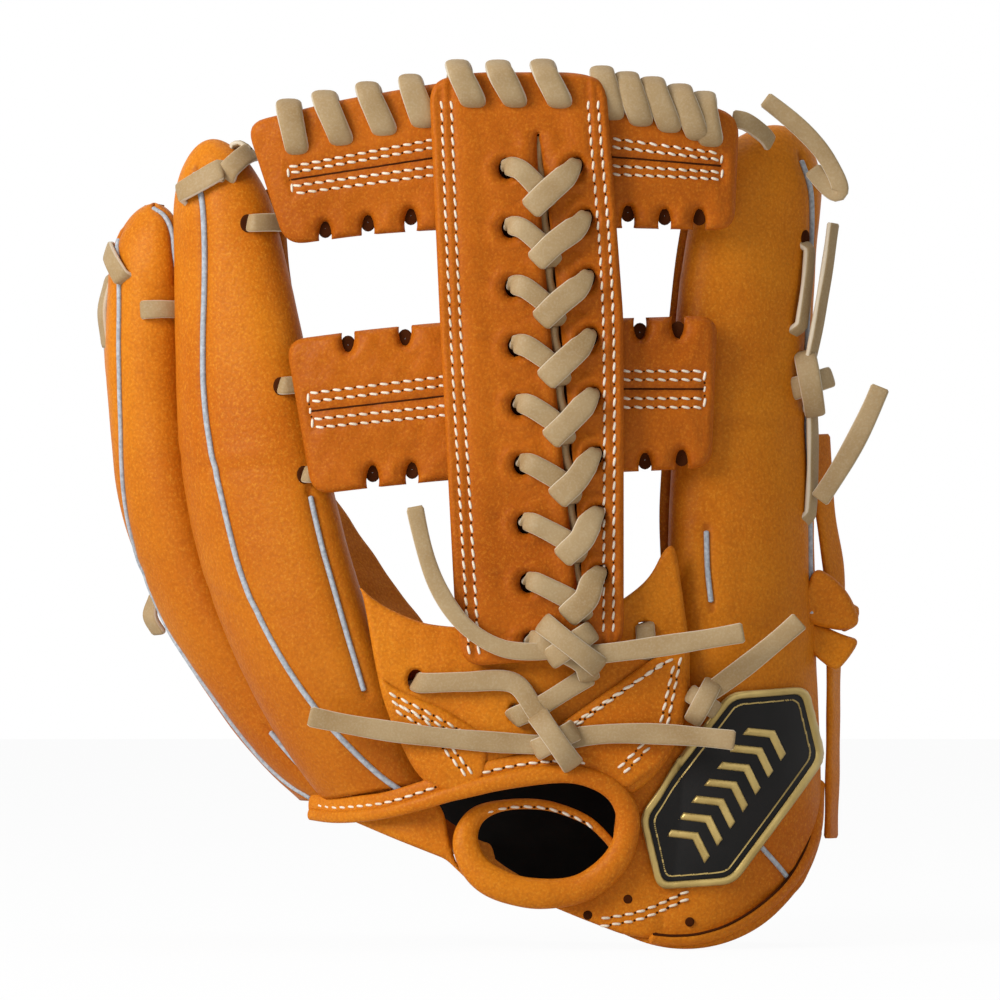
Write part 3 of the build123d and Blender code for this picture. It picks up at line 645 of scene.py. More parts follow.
@dataclass
class Stall:
    """The leather of one digit: a closed tube with a domed tip, its seams, puffed panels and creases."""

    digit: Digit
    body: Body
    replaces: tuple[str, ...]
    seams: tuple[Seam, ...]
    low: Callable[[Array], Array]
    seed: int
    columns: int = 150
    rows: int = 190
    wall: float = 3.2
    crease_heights: tuple[float, ...] = ()
    # how much painted shade darkens the leather low on the digit, towards the palm
    palm_shade: float = 0.3
    seam_swell: float = 0.35
    seam_valley: float = 0.75

    def relief(self, z: Array, angle: Array) -> tuple[Array, Array]:
        """How far the leather stands off its plain form, and how much painted shade it carries, over the
        grid.

        Seams lie in a valley between panels that swell, with painted shade along the valley; creases are
        narrow valleys round the digit with painted shade in them; the leather also gets painted shade low
        down, towards the palm; the rest is slow unevenness.
        """
        _, _, a, b, _ = np.moveaxis(self.digit.values(z), -1, 0)
        turn = np.radians(angle)
        arc = np.hypot(a * np.cos(turn), b * np.sin(turn))
        off = 0.7 * ripple(self.digit.at(z, angle), 60.0, self.seed)
        off += 0.1 * ripple(self.digit.at(z, angle), 19.0, self.seed + 1)
        # painted shade: darker low on the digit, towards the palm, where less light falls
        painted_shade = self.palm_shade * (1.0 - smooth(z, 30.0, 190.0)) + np.zeros_like(off)
        for seam in self.seams:
            gap = np.abs(np.radians(angle - seam.angle(z)) * arc)
            off += self.seam_swell * bump_at(gap, 5.5, 4.0) - self.seam_valley * bump_at(gap, 0.0, 1.5)
            # painted shade along the seam's valley
            painted_shade = np.maximum(painted_shade, 0.45 * bump_at(gap, 0.0, 1.3))
        rng = np.random.default_rng(self.seed + 7)
        for height in self.crease_heights:
            tilt, bend, centre = rng.uniform(-5, 5), rng.uniform(-3, 3), rng.uniform(-50, 50)
            course = height + tilt * np.sin(turn) + bend * np.cos(2 * turn)
            reach = bump_at(angle, centre, rng.uniform(40, 75))
            off += reach * (0.25 * bump_at(z, course + 4.0, 3.4) - 0.35 * bump_at(z, course, 2.4))
            # painted shade in the crease's valley
            painted_shade = np.maximum(painted_shade, 0.12 * reach * bump_at(z, course, 2.0))
        return off, painted_shade

    def make(self, finishes: Finishes, blend: Point2 | None = None) -> None:
        """Builds the leather and its welts.

        Args:
            finishes: the materials.
            blend: heights that are not used as such; when blend is given, the pieces go on no body with their
            transforms baked, and with None they ride on the stall's body.
        """
        angle = np.linspace(180, -180, self.columns, endpoint=False)[None, :]
        shoulder = self.digit.tip - self.digit.dome
        low = self.low(angle)
        body_rows = np.linspace(0, 1, self.rows - DOME_ROWS)[:, None]
        z = low + (shoulder - low) * body_rows
        rise = np.radians(np.linspace(3.2, 89.2, DOME_ROWS))[:, None]
        dome = shoulder + self.digit.dome * np.sin(rise)
        z = np.vstack([z, np.broadcast_to(dome, (DOME_ROWS, self.columns))])
        angle = np.broadcast_to(angle, z.shape)
        off, painted_shade = self.relief(z, angle)
        points = self.digit.at(z, angle, off)
        pile = Pile()
        pile.add_grid(points, closed=True, painted_shade=painted_shade)
        top = points[-1].mean(axis=0)
        cap = np.vstack([points[-1], top[None, :] + np.array([[0, 0, 0.1]])])
        ring = np.arange(self.columns)
        centre = np.full(self.columns, self.columns)
        pile.add(cap, np.stack([ring, (ring + 1) % self.columns, centre, centre], 1))
        skin = pile.mesh(f"{self.digit.name}_leather", weld=0.02)
        thicken(skin, self.wall)
        self.place(skin, finishes.hide, "shell_hide", self.replaces, blend)
        for seam in self.seams:
            self.sew(seam, finishes, blend)

    def sew(self, seam: Seam, finishes: Finishes, blend: Point2 | None) -> None:
        """Lays a welt cord in its seam."""
        course = curve_through(seam.course, 160)
        off, _ = self.relief(course[:, 0], course[:, 1])
        line = self.digit.at(course[:, 0], course[:, 1], off + seam.radius * 0.6)
        pile = Pile()
        pile_tube(pile, line, seam.radius, around=10)
        self.place(pile.mesh(seam.name), finishes.welt, "welt", seam.replaces, blend)

    def place(self, piece: Piece, material: Material, slot: str, replaces: Sequence[str],
              blend: Point2 | None) -> None:
        """Dresses a piece of the stall on its one body, or, where blend is given, gives it its finish and
        bakes its transform without a body.
        """
        if blend is None:
            dress(piece, material, self.body, replaces)
            return
        settle(piece, material, replaces)
        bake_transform(piece)


# --- carried profiles: cords, laces, stitches ---------------------------------------------------
def frames(line: Array, face: Array | None = None) -> tuple[Array, Array, Array]:
    """Tangent, sideways and facing directions along a line.

    Args:
        line: the points.
        face: the way that the flat side looks at each point, or one way for all; -Y where it is left out.
    """
    way = tangents(line)
    face = TO_THE_FRONT if face is None else np.asarray(face, float)
    face = np.broadcast_to(face, line.shape)
    face = unit(face - way * np.sum(face * way, axis=1, keepdims=True))
    return way, unit(np.cross(way, face)), face


def pile_tube(pile: Pile, line: Array, radius: float | Array, around: int = 12, flat: float = 1.0,
              face: Array | None = None, painted_shade: Array | float = 0.0) -> None:
    """Adds a round or slightly flattened cord along a line, closed at both ends.

    Args:
        pile: what it joins.
        line: its middle line.
        radius: one radius, or one for each point.
        around: faces round it.
        flat: its thickness as a share of its width.
        face: the flat side's direction.
        painted_shade: how much painted shade darkens it at each point.
    """
    way, side, out = frames(line, face)
    radius = np.broadcast_to(np.asarray(radius, float), (len(line),)).copy()
    first = line[:1] - way[:1] * radius[0] * 0.45
    last = line[-1:] + way[-1:] * radius[-1] * 0.45
    line = np.vstack([first, first * 0.4 + line[:1] * 0.6, line, last * 0.4 + line[-1:] * 0.6, last])
    ends = [0.05, 0.8]
    radius = np.r_[radius[0] * np.array(ends), radius, radius[-1] * np.array(ends[::-1])]
    side = np.vstack([side[:1]] * 2 + [side] + [side[-1:]] * 2)
    out = np.vstack([out[:1]] * 2 + [out] + [out[-1:]] * 2)
    turn = np.linspace(0, 2 * math.pi, around, endpoint=False)
    points = (line[:, None] + side[:, None] * (radius[:, None] * np.cos(turn))[..., None]
              + out[:, None] * (radius[:, None] * flat * np.sin(turn))[..., None])
    run = run_along(line)
    uv = np.stack(np.broadcast_arrays(run[:, None], radius[:, None] * np.cos(turn)), -1)
    dark = np.asarray(painted_shade, float).reshape(-1)
    if dark.size > 1:
        dark = np.repeat(np.r_[dark[0], dark[0], dark, dark[-1], dark[-1]], around)
    pile.add_grid(points, closed=True, uv=uv, painted_shade=dark)


@dataclass(frozen=True)
class Lace:
    """Flat rawhide lace: 6.4 by 2.2 mm, its section a rounded oblong carried along a line.

    A softer lace has a rounder section; a tucked one narrows to a round end at both ends.
    """

    width: float = 6.4
    thick: float = 2.2
    around: int = 16
    softness: float = 0.0
    tucked: bool = False

    def lay(self, pile: Pile, line: Array, face: Array | None = None, width: Array | float | None = None,
            seed: int = 0) -> None:
        """Adds one length of lace.

        Args:
            pile: what it joins.
            line: its middle line.
            face: the direction of its flat side at each point.
            width: its width, or its width at each point, where it isn't the stock's.
            seed: chooses its small unevenness.
        """
        _, side, out = frames(line, face)
        run = run_along(line)
        rng = np.random.default_rng(seed)
        plain = np.broadcast_to(np.asarray(self.width if width is None else width, float) / 2, run.shape)
        half = plain * (1 + 0.04 * np.sin(run / 5.0 + rng.uniform(0, 6)))
        lift = self.thick / 2 * (1 + 0.08 * np.sin(run / 3.3 + rng.uniform(0, 6)))
        turn = np.linspace(0, 2 * math.pi, self.around, endpoint=False)
        across = np.sign(np.cos(turn)) * np.abs(np.cos(turn)) ** (0.42 + 0.35 * self.softness)
        through = np.sign(np.sin(turn)) * np.abs(np.sin(turn)) ** (0.62 + 0.25 * self.softness)
        ends = np.ones(len(line))
        ends[0] = ends[-1] = 0.82
        if self.tucked:
            near = np.clip(np.minimum(run, run[-1] - run) / (1.15 * plain), 0.0, 1.0)
            ends = np.sqrt(np.clip(1 - (1 - near) ** 2, 0.03, 1.0))
        points = (line[:, None] + side[:, None] * ((half * ends)[:, None] * across)[..., None]
                  + out[:, None] * ((lift * ends)[:, None] * through)[..., None])
        points = np.concatenate([line[:1, None] + (points[:1] - line[:1, None]) * 0.02, points,
                                 line[-1:, None] + (points[-1:] - line[-1:, None]) * 0.02])
        run = np.r_[run[0], run, run[-1]]
        uv = np.stack(np.broadcast_arrays(run[:, None], LaceFinish.half_width * across), -1)
        pile.add_grid(points, closed=True, uv=uv)


LACE = Lace()


def route(points: Sequence[Sequence[float]]) -> Array:
    """The smooth line of a free lace: a NURBS spline with these control points, read back as points."""
    data = bpy.data.curves.new("route", "CURVE")
    data.dimensions = "3D"
    spline = data.splines.new("NURBS")
    spline.points.add(len(points) - 1)
    spline.points.foreach_set("co", np.hstack([np.asarray(points, float), np.ones((len(points), 1))]).ravel())
    spline.order_u = 3
    spline.use_endpoint_u = True
    spline.resolution_u = 16
    holder = bpy.data.objects.new("route", data)
    mesh = bpy.data.meshes.new_from_object(holder)
    line = np.zeros(len(mesh.vertices) * 3)
    mesh.vertices.foreach_get("co", line)
    bpy.data.objects.remove(holder)
    bpy.data.curves.remove(data)
    bpy.data.meshes.remove(mesh)
    line = line.reshape(-1, 3)
    keep = np.r_[True, np.linalg.norm(np.diff(line, axis=0), axis=1) > 1e-6]
    return line[keep]


def knot(pile: Pile, centre: Sequence[float], length: float, depth: float, turn: float, seed: int = 0,
         width: float = 6.4, crossing: float = 62.0) -> None:
    """Adds a pulled-tight knot: two bands of lace that bulge over each other and tuck under.

    Each band runs along half an ellipse, length long and depth deep, out of the glove; the second crosses the
    first at an angle.
    """
    c = np.asarray(centre, float)
    t = np.radians(np.linspace(-28, 208, 26))
    bands = ((turn + crossing, 0.7, -0.6), (turn, 1.0, 1.2))  # angle, share of the length, added depth
    for i, (angle, share, lift) in enumerate(bands):
        d = np.array([math.cos(math.radians(angle)), 0.0, math.sin(math.radians(angle))])
        arc = c + np.outer(np.cos(t), d) * length * share / 2
        arc[:, 1] -= np.maximum(np.sin(t), -0.35) * (depth + lift)
        out = np.outer(np.cos(t), d) / (length / 2) + np.outer(np.sin(t), [0, -1, 0]) / (depth + lift)
        Lace(width, 2.5, 18, softness=0.4).lay(pile, arc, unit(out), seed=seed + i)


STITCH_AT = np.array([-1.0, -0.86, -0.45, 0.45, 0.86, 1.0])  # along a stitch, in half lengths
STITCH_SIZE = np.array([0.05, 0.72, 1.0, 1.0, 0.72, 0.05])  # its thickness there, in radii
STITCH_RISE = np.array([-0.75, -0.25, 0.25, 0.25, -0.25, -0.75])  # its height off the leather, in radii
NEEDLE_SIZE, NEEDLE_RISE = np.array([0.02, 0.75, 1.0]), np.array([0.16, 0.10, -0.25])
SIDES = 6  # faces round a stitch or a needle hole


@dataclass
class Stitching:
    """Rows of slanted lock stitches with the needle holes between them, gathered as two meshes."""

    pitch: float = 3.75
    length: float = 3.0
    radius: float = 0.44
    hole_radius: float = 0.5
    threads: Pile = field(default_factory=Pile)
    holes: Pile = field(default_factory=Pile)

    def row(self, line: Array, face: Array = TO_THE_FRONT, slant: float = 9.0) -> None:
        """Sews one row.

        Each stitch is a short capsule, its ends sunk into the leather; a small dark lens in each gap paints
        the shade of its needle hole.

        Args:
            line: the row's line on the leather.
            face: the leather's outward direction at each point of the line, or one for all.
            slant: how far each stitch turns from the row, in degrees.
        """
        count = max(2, int(run_along(line)[-1] / self.pitch))
        face = np.broadcast_to(np.asarray(face, float), line.shape)
        both = even_steps(np.hstack([line, face]), 2 * count + 1)
        spots, out = both[:, :3], unit(both[:, 3:])
        way, side, out = frames(spots, out)
        turn = math.radians(slant)
        along = way * math.cos(turn) + side * math.sin(turn)
        across = np.cross(out, along)
        ring = np.linspace(0, 2 * math.pi, SIDES, endpoint=False)
        middle, thread = spots[1::2], self.radius * STITCH_SIZE[:, None]
        form = (middle[:, None, None]
                + along[1::2, None, None] * (STITCH_AT * self.length / 2)[None, :, None, None]
                + out[1::2, None, None] * (STITCH_RISE * self.radius)[None, :, None, None]
                + across[1::2, None, None] * (thread * np.cos(ring))[None, ..., None]
                + out[1::2, None, None] * (thread * np.sin(ring))[None, ..., None])
        self.threads.add(form, repeated(grid_faces(len(STITCH_AT), SIDES, closed=True), len(middle)))
        gap, lens = spots[2:-1:2], self.hole_radius * NEEDLE_SIZE[:, None]
        form = (gap[:, None, None]
                + way[2:-1:2, None, None] * (lens * np.cos(ring))[None, ..., None]
                + side[2:-1:2, None, None] * (lens * np.sin(ring))[None, ..., None]
                + out[2:-1:2, None, None] * NEEDLE_RISE[None, :, None, None])
        self.holes.add(form, repeated(grid_faces(len(NEEDLE_SIZE), SIDES, closed=True), len(gap)))

    def make(self, name: str, finishes: Finishes, body: Body, slot: str = "lace") -> None:
        """Turns the rows into their two pieces."""
        dress(self.threads.mesh(f"{name}_thread"), finishes.thread, body)
        dress(self.holes.mesh(f"{name}_needle_holes"), finishes.needle, body)


def hole_shade_disc(pile: Pile, centre: Array, out: Array, wide: float, long: float) -> None:
    """Adds a shallow dark disc that paints the shade inside a punched hole: half sizes wide and long, facing
    out.
    """
    out = unit(np.asarray(out, float))
    side = unit(np.cross([0.0, 0.0, 1.0], out))
    up = np.cross(out, side)
    turn = np.linspace(0, 2 * math.pi, 16, endpoint=False)
    size, rise = np.array([0.02, 0.6, 0.92, 1.0, 0.96]), np.array([0.1, 0.1, 0.06, -0.1, -0.7])
    form = (np.asarray(centre, float)
            + up * (long * size[:, None] * np.cos(turn))[..., None]
            + side * (wide * size[:, None] * np.sin(turn))[..., None]
            + out * np.broadcast_to(rise[:, None, None], (5, 16, 1)))
    pile.add_grid(form[:, ::-1], closed=True)


# --- flat-cut hides ---------------------------------------------------------------------------
def rounded(points: Sequence[Point2], radius: float = 5.0) -> Array:
    """An outline whose corners are soft curves, from radius before each corner to radius after it."""
    p = np.asarray(points, float)
    before, after = np.roll(p, 1, axis=0), np.roll(p, -1, axis=0)
    to_before, to_after = before - p, after - p
    reach_b = np.minimum(radius, 0.45 * np.linalg.norm(to_before, axis=1))[:, None]
    reach_a = np.minimum(radius, 0.45 * np.linalg.norm(to_after, axis=1))[:, None]
    start, end = p + unit(to_before) * reach_b, p + unit(to_after) * reach_a
    t = np.linspace(0, 1, 7)[None, :, None]
    return ((1 - t) ** 2 * start[:, None] + 2 * t * (1 - t) * p[:, None] + t**2 * end[:, None]).reshape(-1, 2)


def oval(x: float, z: float, radius_x: float, radius_z: float, tilt: float = 0.0) -> Array:
    """The outline of a punched hole, tilted by so many degrees."""
    t = np.linspace(0, 2 * math.pi, 20, endpoint=False)
    u, v = radius_x * np.cos(t), radius_z * np.sin(t)
    c, s = math.cos(math.radians(tilt)), math.sin(math.radians(tilt))
    return np.stack([x + u * c - v * s, z + u * s + v * c], 1)


def line_distance(points: Array, line: Array, closed: bool = False) -> Array:
    """Distance from each point to a broken line, in the plane."""
    a = line if closed else line[:-1]
    b = np.roll(line, -1, axis=0) if closed else line[1:]
    ab = b - a
    t = np.einsum("nmk,mk->nm", points[:, None] - a[None], ab) / np.maximum(np.sum(ab**2, axis=1), 1e-9)
    near = a[None] + np.clip(t, 0, 1)[..., None] * ab[None]
    return np.sqrt(np.min(np.sum((points[:, None] - near) ** 2, axis=2), axis=1))


def outline_distance(points: Array, outline: Array) -> Array:
    """Signed distance to a closed outline: below 0 inside it."""
    a, b = outline, np.roll(outline, -1, axis=0)
    x, z = points[:, :1], points[:, 1:]
    crosses = (a[:, 1] > z) != (b[:, 1] > z)
    rise = np.where(np.abs(b[:, 1] - a[:, 1]) < 1e-9, 1e-9, b[:, 1] - a[:, 1])
    left = x < a[:, 0] + (b[:, 0] - a[:, 0]) * (z - a[:, 1]) / rise
    inside = np.sum(crosses & left, axis=1) % 2 == 1
    away = line_distance(points, outline, closed=True)
    return np.where(inside, -away, away)


def course(points: Sequence[Point2]) -> Callable[[Array], Array]:
    """The second coordinate of a smooth line through points, as a function of the first."""
    line = curve_through(sorted(points), 240)
    return lambda u: np.interp(u, line[:, 0], line[:, 1])


Relief = Callable[[Array, Array, Array], tuple[Array, Array]]


def unevenness(x: Array, z: Array, seed: int, coarse: Point2, fine: Point2) -> Array:
    """Height of a flat-cut hide's two ripples at x and z, each given as its height and its wavelength."""
    spots = np.stack([x, z, z * 0], -1)
    return coarse[0] * ripple(spots, coarse[1], seed) + fine[0] * ripple(spots, fine[1], seed + 1)


def plain_relief(seed: int, amount: float = 0.45) -> Relief:
    """The relief of a hide that has slow unevenness only."""
    def relief(x: Array, z: Array, inside: Array) -> tuple[Array, Array]:
        """The height off the plain face at x and z, and no darkening."""
        return unevenness(x, z, seed, (amount, 30.0), (0.18, 9.0)), np.zeros_like(x)
    return relief


def flat_relief(x: Array, z: Array, inside: Array) -> tuple[Array, Array]:
    """No relief and no darkening."""
    return np.zeros_like(x), np.zeros_like(x)


@dataclass
class Panel:
    """A hide cut to an outline in x and z and laid along a back face, with rounded rims and raw cut sides.

    The mesh is a grid cut to the outline: points near the outline move onto it, cells outside it go, and a
    strip joins the front face to the back face along what is left.
    """

    name: str
    outline: Array
    back: Callable[[Array, Array], Array]
    thickness: float
    holes: Sequence[Array] = ()
    relief: Relief = field(default_factory=lambda: plain_relief(3))
    cell: float = 0.9
    edge: float = 1.3
    snap: Point2 = (-0.42, 1.02)  # in cells from the outline: the points that move onto it

    def distance(self, points: Array) -> Array:
        """Signed distance to the cut form: below 0 in the hide."""
        away = outline_distance(points, self.outline)
        for hole in self.holes:
            away = np.maximum(away, -outline_distance(points, hole))
        return away

    def drop(self, inside: Array) -> Array:
        """How far the rounded rim falls back at a distance inside the cut form."""
        over = np.clip(self.edge - inside, 0, self.edge)
        return self.edge - np.sqrt(np.clip(self.edge**2 - over**2, 0, None))

    def front(self, x: Array, z: Array, inside: Array | None = None) -> Array:
        """y of the front face."""
        x, z = np.asarray(x, float), np.asarray(z, float)
        if inside is None:
            inside = -self.distance(np.stack([x, z], -1).reshape(-1, 2)).reshape(x.shape)
        off, _ = self.relief(x, z, inside)
        return self.back(x, z) - self.thickness - off * smooth(inside, 0.0, 2.5) + self.drop(inside)

    def on(self, points: Sequence[Point2], count: int = 60, lift: float = 0.0) -> Array:
        """A line of 3-D points on the front face, from points in x and z."""
        flat = curve_through(points, count)
        return np.stack([flat[:, 0], self.front(flat[:, 0], flat[:, 1]) - lift, flat[:, 1]], 1)

    def fill(self, pile: Pile, sides: Pile) -> None:
        """Adds the two faces to pile and the cut sides to sides."""
        low, high = self.outline.min(axis=0) - self.cell, self.outline.max(axis=0) + self.cell
        xs = np.arange(low[0], high[0] + self.cell, self.cell)
        zs = np.arange(low[1], high[1] + self.cell, self.cell)
        flat = np.stack(np.meshgrid(xs, zs), -1).reshape(-1, 2)
        away = self.distance(flat)
        for _ in range(2):
            near = (away > self.snap[0] * self.cell) & (away < self.snap[1] * self.cell)
            near &= np.abs(away) > 1e-3
            if not near.any():
                break
            spots = flat[near]
            slope = unit(np.stack([(self.distance(spots + step) - self.distance(spots - step)) / 0.1
                                   for step in (np.array([[0.05, 0.0]]), np.array([[0.0, 0.05]]))], 1))
            flat[near] = spots - slope * away[near, None]
            away[near] = self.distance(flat[near])
        faces = grid_faces(len(zs), len(xs))
        middle = self.distance(flat[faces].mean(axis=1))
        keep = (middle < -0.05 * self.cell) & np.all(away[faces] < 0.3 * self.cell, axis=1)
        faces = faces[keep]
        used, faces = np.unique(faces, return_inverse=True)
        faces = faces.reshape(-1, 4)
        flat, inside = flat[used], np.maximum(-away[used], 0.0)
        x, z = flat[:, 0], flat[:, 1]
        _, painted_shade = self.relief(x, z, inside)
        front = np.stack([x, self.front(x, z, inside), z], 1)
        back = np.stack([x, self.back(x, z) - self.drop(inside), z], 1)
        pile.add(front, faces, painted_shade=painted_shade)
        pile.add(back, faces[:, ::-1], painted_shade=painted_shade)
        edges = np.concatenate([faces[:, [i, (i + 1) % 4]] for i in range(4)])
        tag = np.sort(edges, axis=1)
        _, first, count = np.unique(tag, axis=0, return_index=True, return_counts=True)
        rim = edges[first[count == 1]]
        quads = np.stack([rim[:, 1], rim[:, 0], rim[:, 0] + len(front), rim[:, 1] + len(front)], 1)
        sides.add(np.vstack([front, back]), quads)

    def make(self, body: Body, slot: str, hide: Material, raw: Material,
             replaces: Sequence[str] = ()) -> None:
        """Builds the hide, its raw cut sides in their own finish."""
        pile, sides = Pile(), Pile()
        self.fill(pile, sides)
        split = sum(len(q) for q in pile.quads)
        whole = Pile(pile.verts + sides.verts, pile.quads + [q + pile.size for q in sides.quads],
                     pile.uvs + sides.uvs, pile.painted_shade + sides.painted_shade, pile.size + sides.size)
        piece = whole.mesh(self.name)
        dress(piece, hide, body, replaces)
        piece.data.materials.append(raw)
        index = np.zeros(len(piece.data.polygons), np.int32)
        index[split:] = 1
        piece.data.polygons.foreach_set("material_index", index)
        weld_points(piece.data, 0.004 * MM)


# --- the web ----------------------------------------------------------------------------------
POST_BACK = course([(260.5, -62.8), (215, -63.4), (165, -63.8), (120, -63.6), (82, -63.2)])
TOP_BAR_BACK = course([(-99, -49.5), (-60, -54.5), (-12, -56.8), (28, -55), (57, -48.5)])
LOWER_BAR_BACK = course([(-87, -51.3), (-60, -54.8), (-15, -57), (20, -55.5), (50, -50.6)])
BASE_BACK = course([(-68, -54.5), (-50, -57.2), (-20, -59.4), (10, -59.2), (32, -56), (42, -53.2)])
STRAP_BACK = course([(-67, -39), (-45, -48.4), (-15, -51.4), (10, -51.6), (24, -51.0), (36, -48.7),
                     (48, -45.5)])
WEB_TOP, POST_FOOT, POST_LEFT, POST_RIGHT = 260.5, 82.0, -36.5, 20.0
POST_TURN = 182.0  # height where the post's sides change direction
POST_ROWS = (3.3, 6.4)  # its stitch rows, in from its rims
POST_HIDE, BAR_HIDE, BASE_HIDE = 5.6, 5.0, 3.0
STRAND_POINTS = 34  # points along one lace strand of the post
LEFT_HOLES = [(-16.8 + 0.95 * i, 230.0 - 18.6 * i) for i in range(9)]
RIGHT_HOLES = [(5.0, 230.6)] + [(8.0 + 0.8 * i, 214.1 - 18.6 * i) for i in range(7)]
TOP_FORM = ((-99.2, 245), (-70, 252), (-41, 257), (-18.9, 260), (12.6, 259), (36, 254), (56.7, 247.4),
            (55.1, 211), (18.9, 211.7), (-41, 211), (-62, 209.5), (-86.6, 206.3))
LOWER_FORM = ((-86.6, 176.4), (-62, 179.6), (-37.8, 182), (19.5, 183.3), (49.8, 184.3), (47.9, 136),
              (19.5, 134.8), (-34.7, 132.3), (-58, 130), (-78.1, 127.6))
BASE_FORM = ((-63.8, 99.5), (-59.5, 95.2), (-54.5, 92.0), (-48, 89), (-41, 86.6), (-12, 84.5), (8, 88),
             (20.5, 95), (28.4, 101.5), (33, 111), (36.5, 112), (38.7, 96), (41, 80), (41, 63), (38.7, 54),
             (33, 42), (22, 32), (12, 36), (0, 38), (-17, 37.4), (-36, 32), (-46, 40), (-55, 60),
             (-58, 72.5), (-62, 96))


def slit_x(z: Array) -> Array:
    """x of the middle of the post's slit at height z."""
    return -7.0 + (240.0 - z) * 0.093


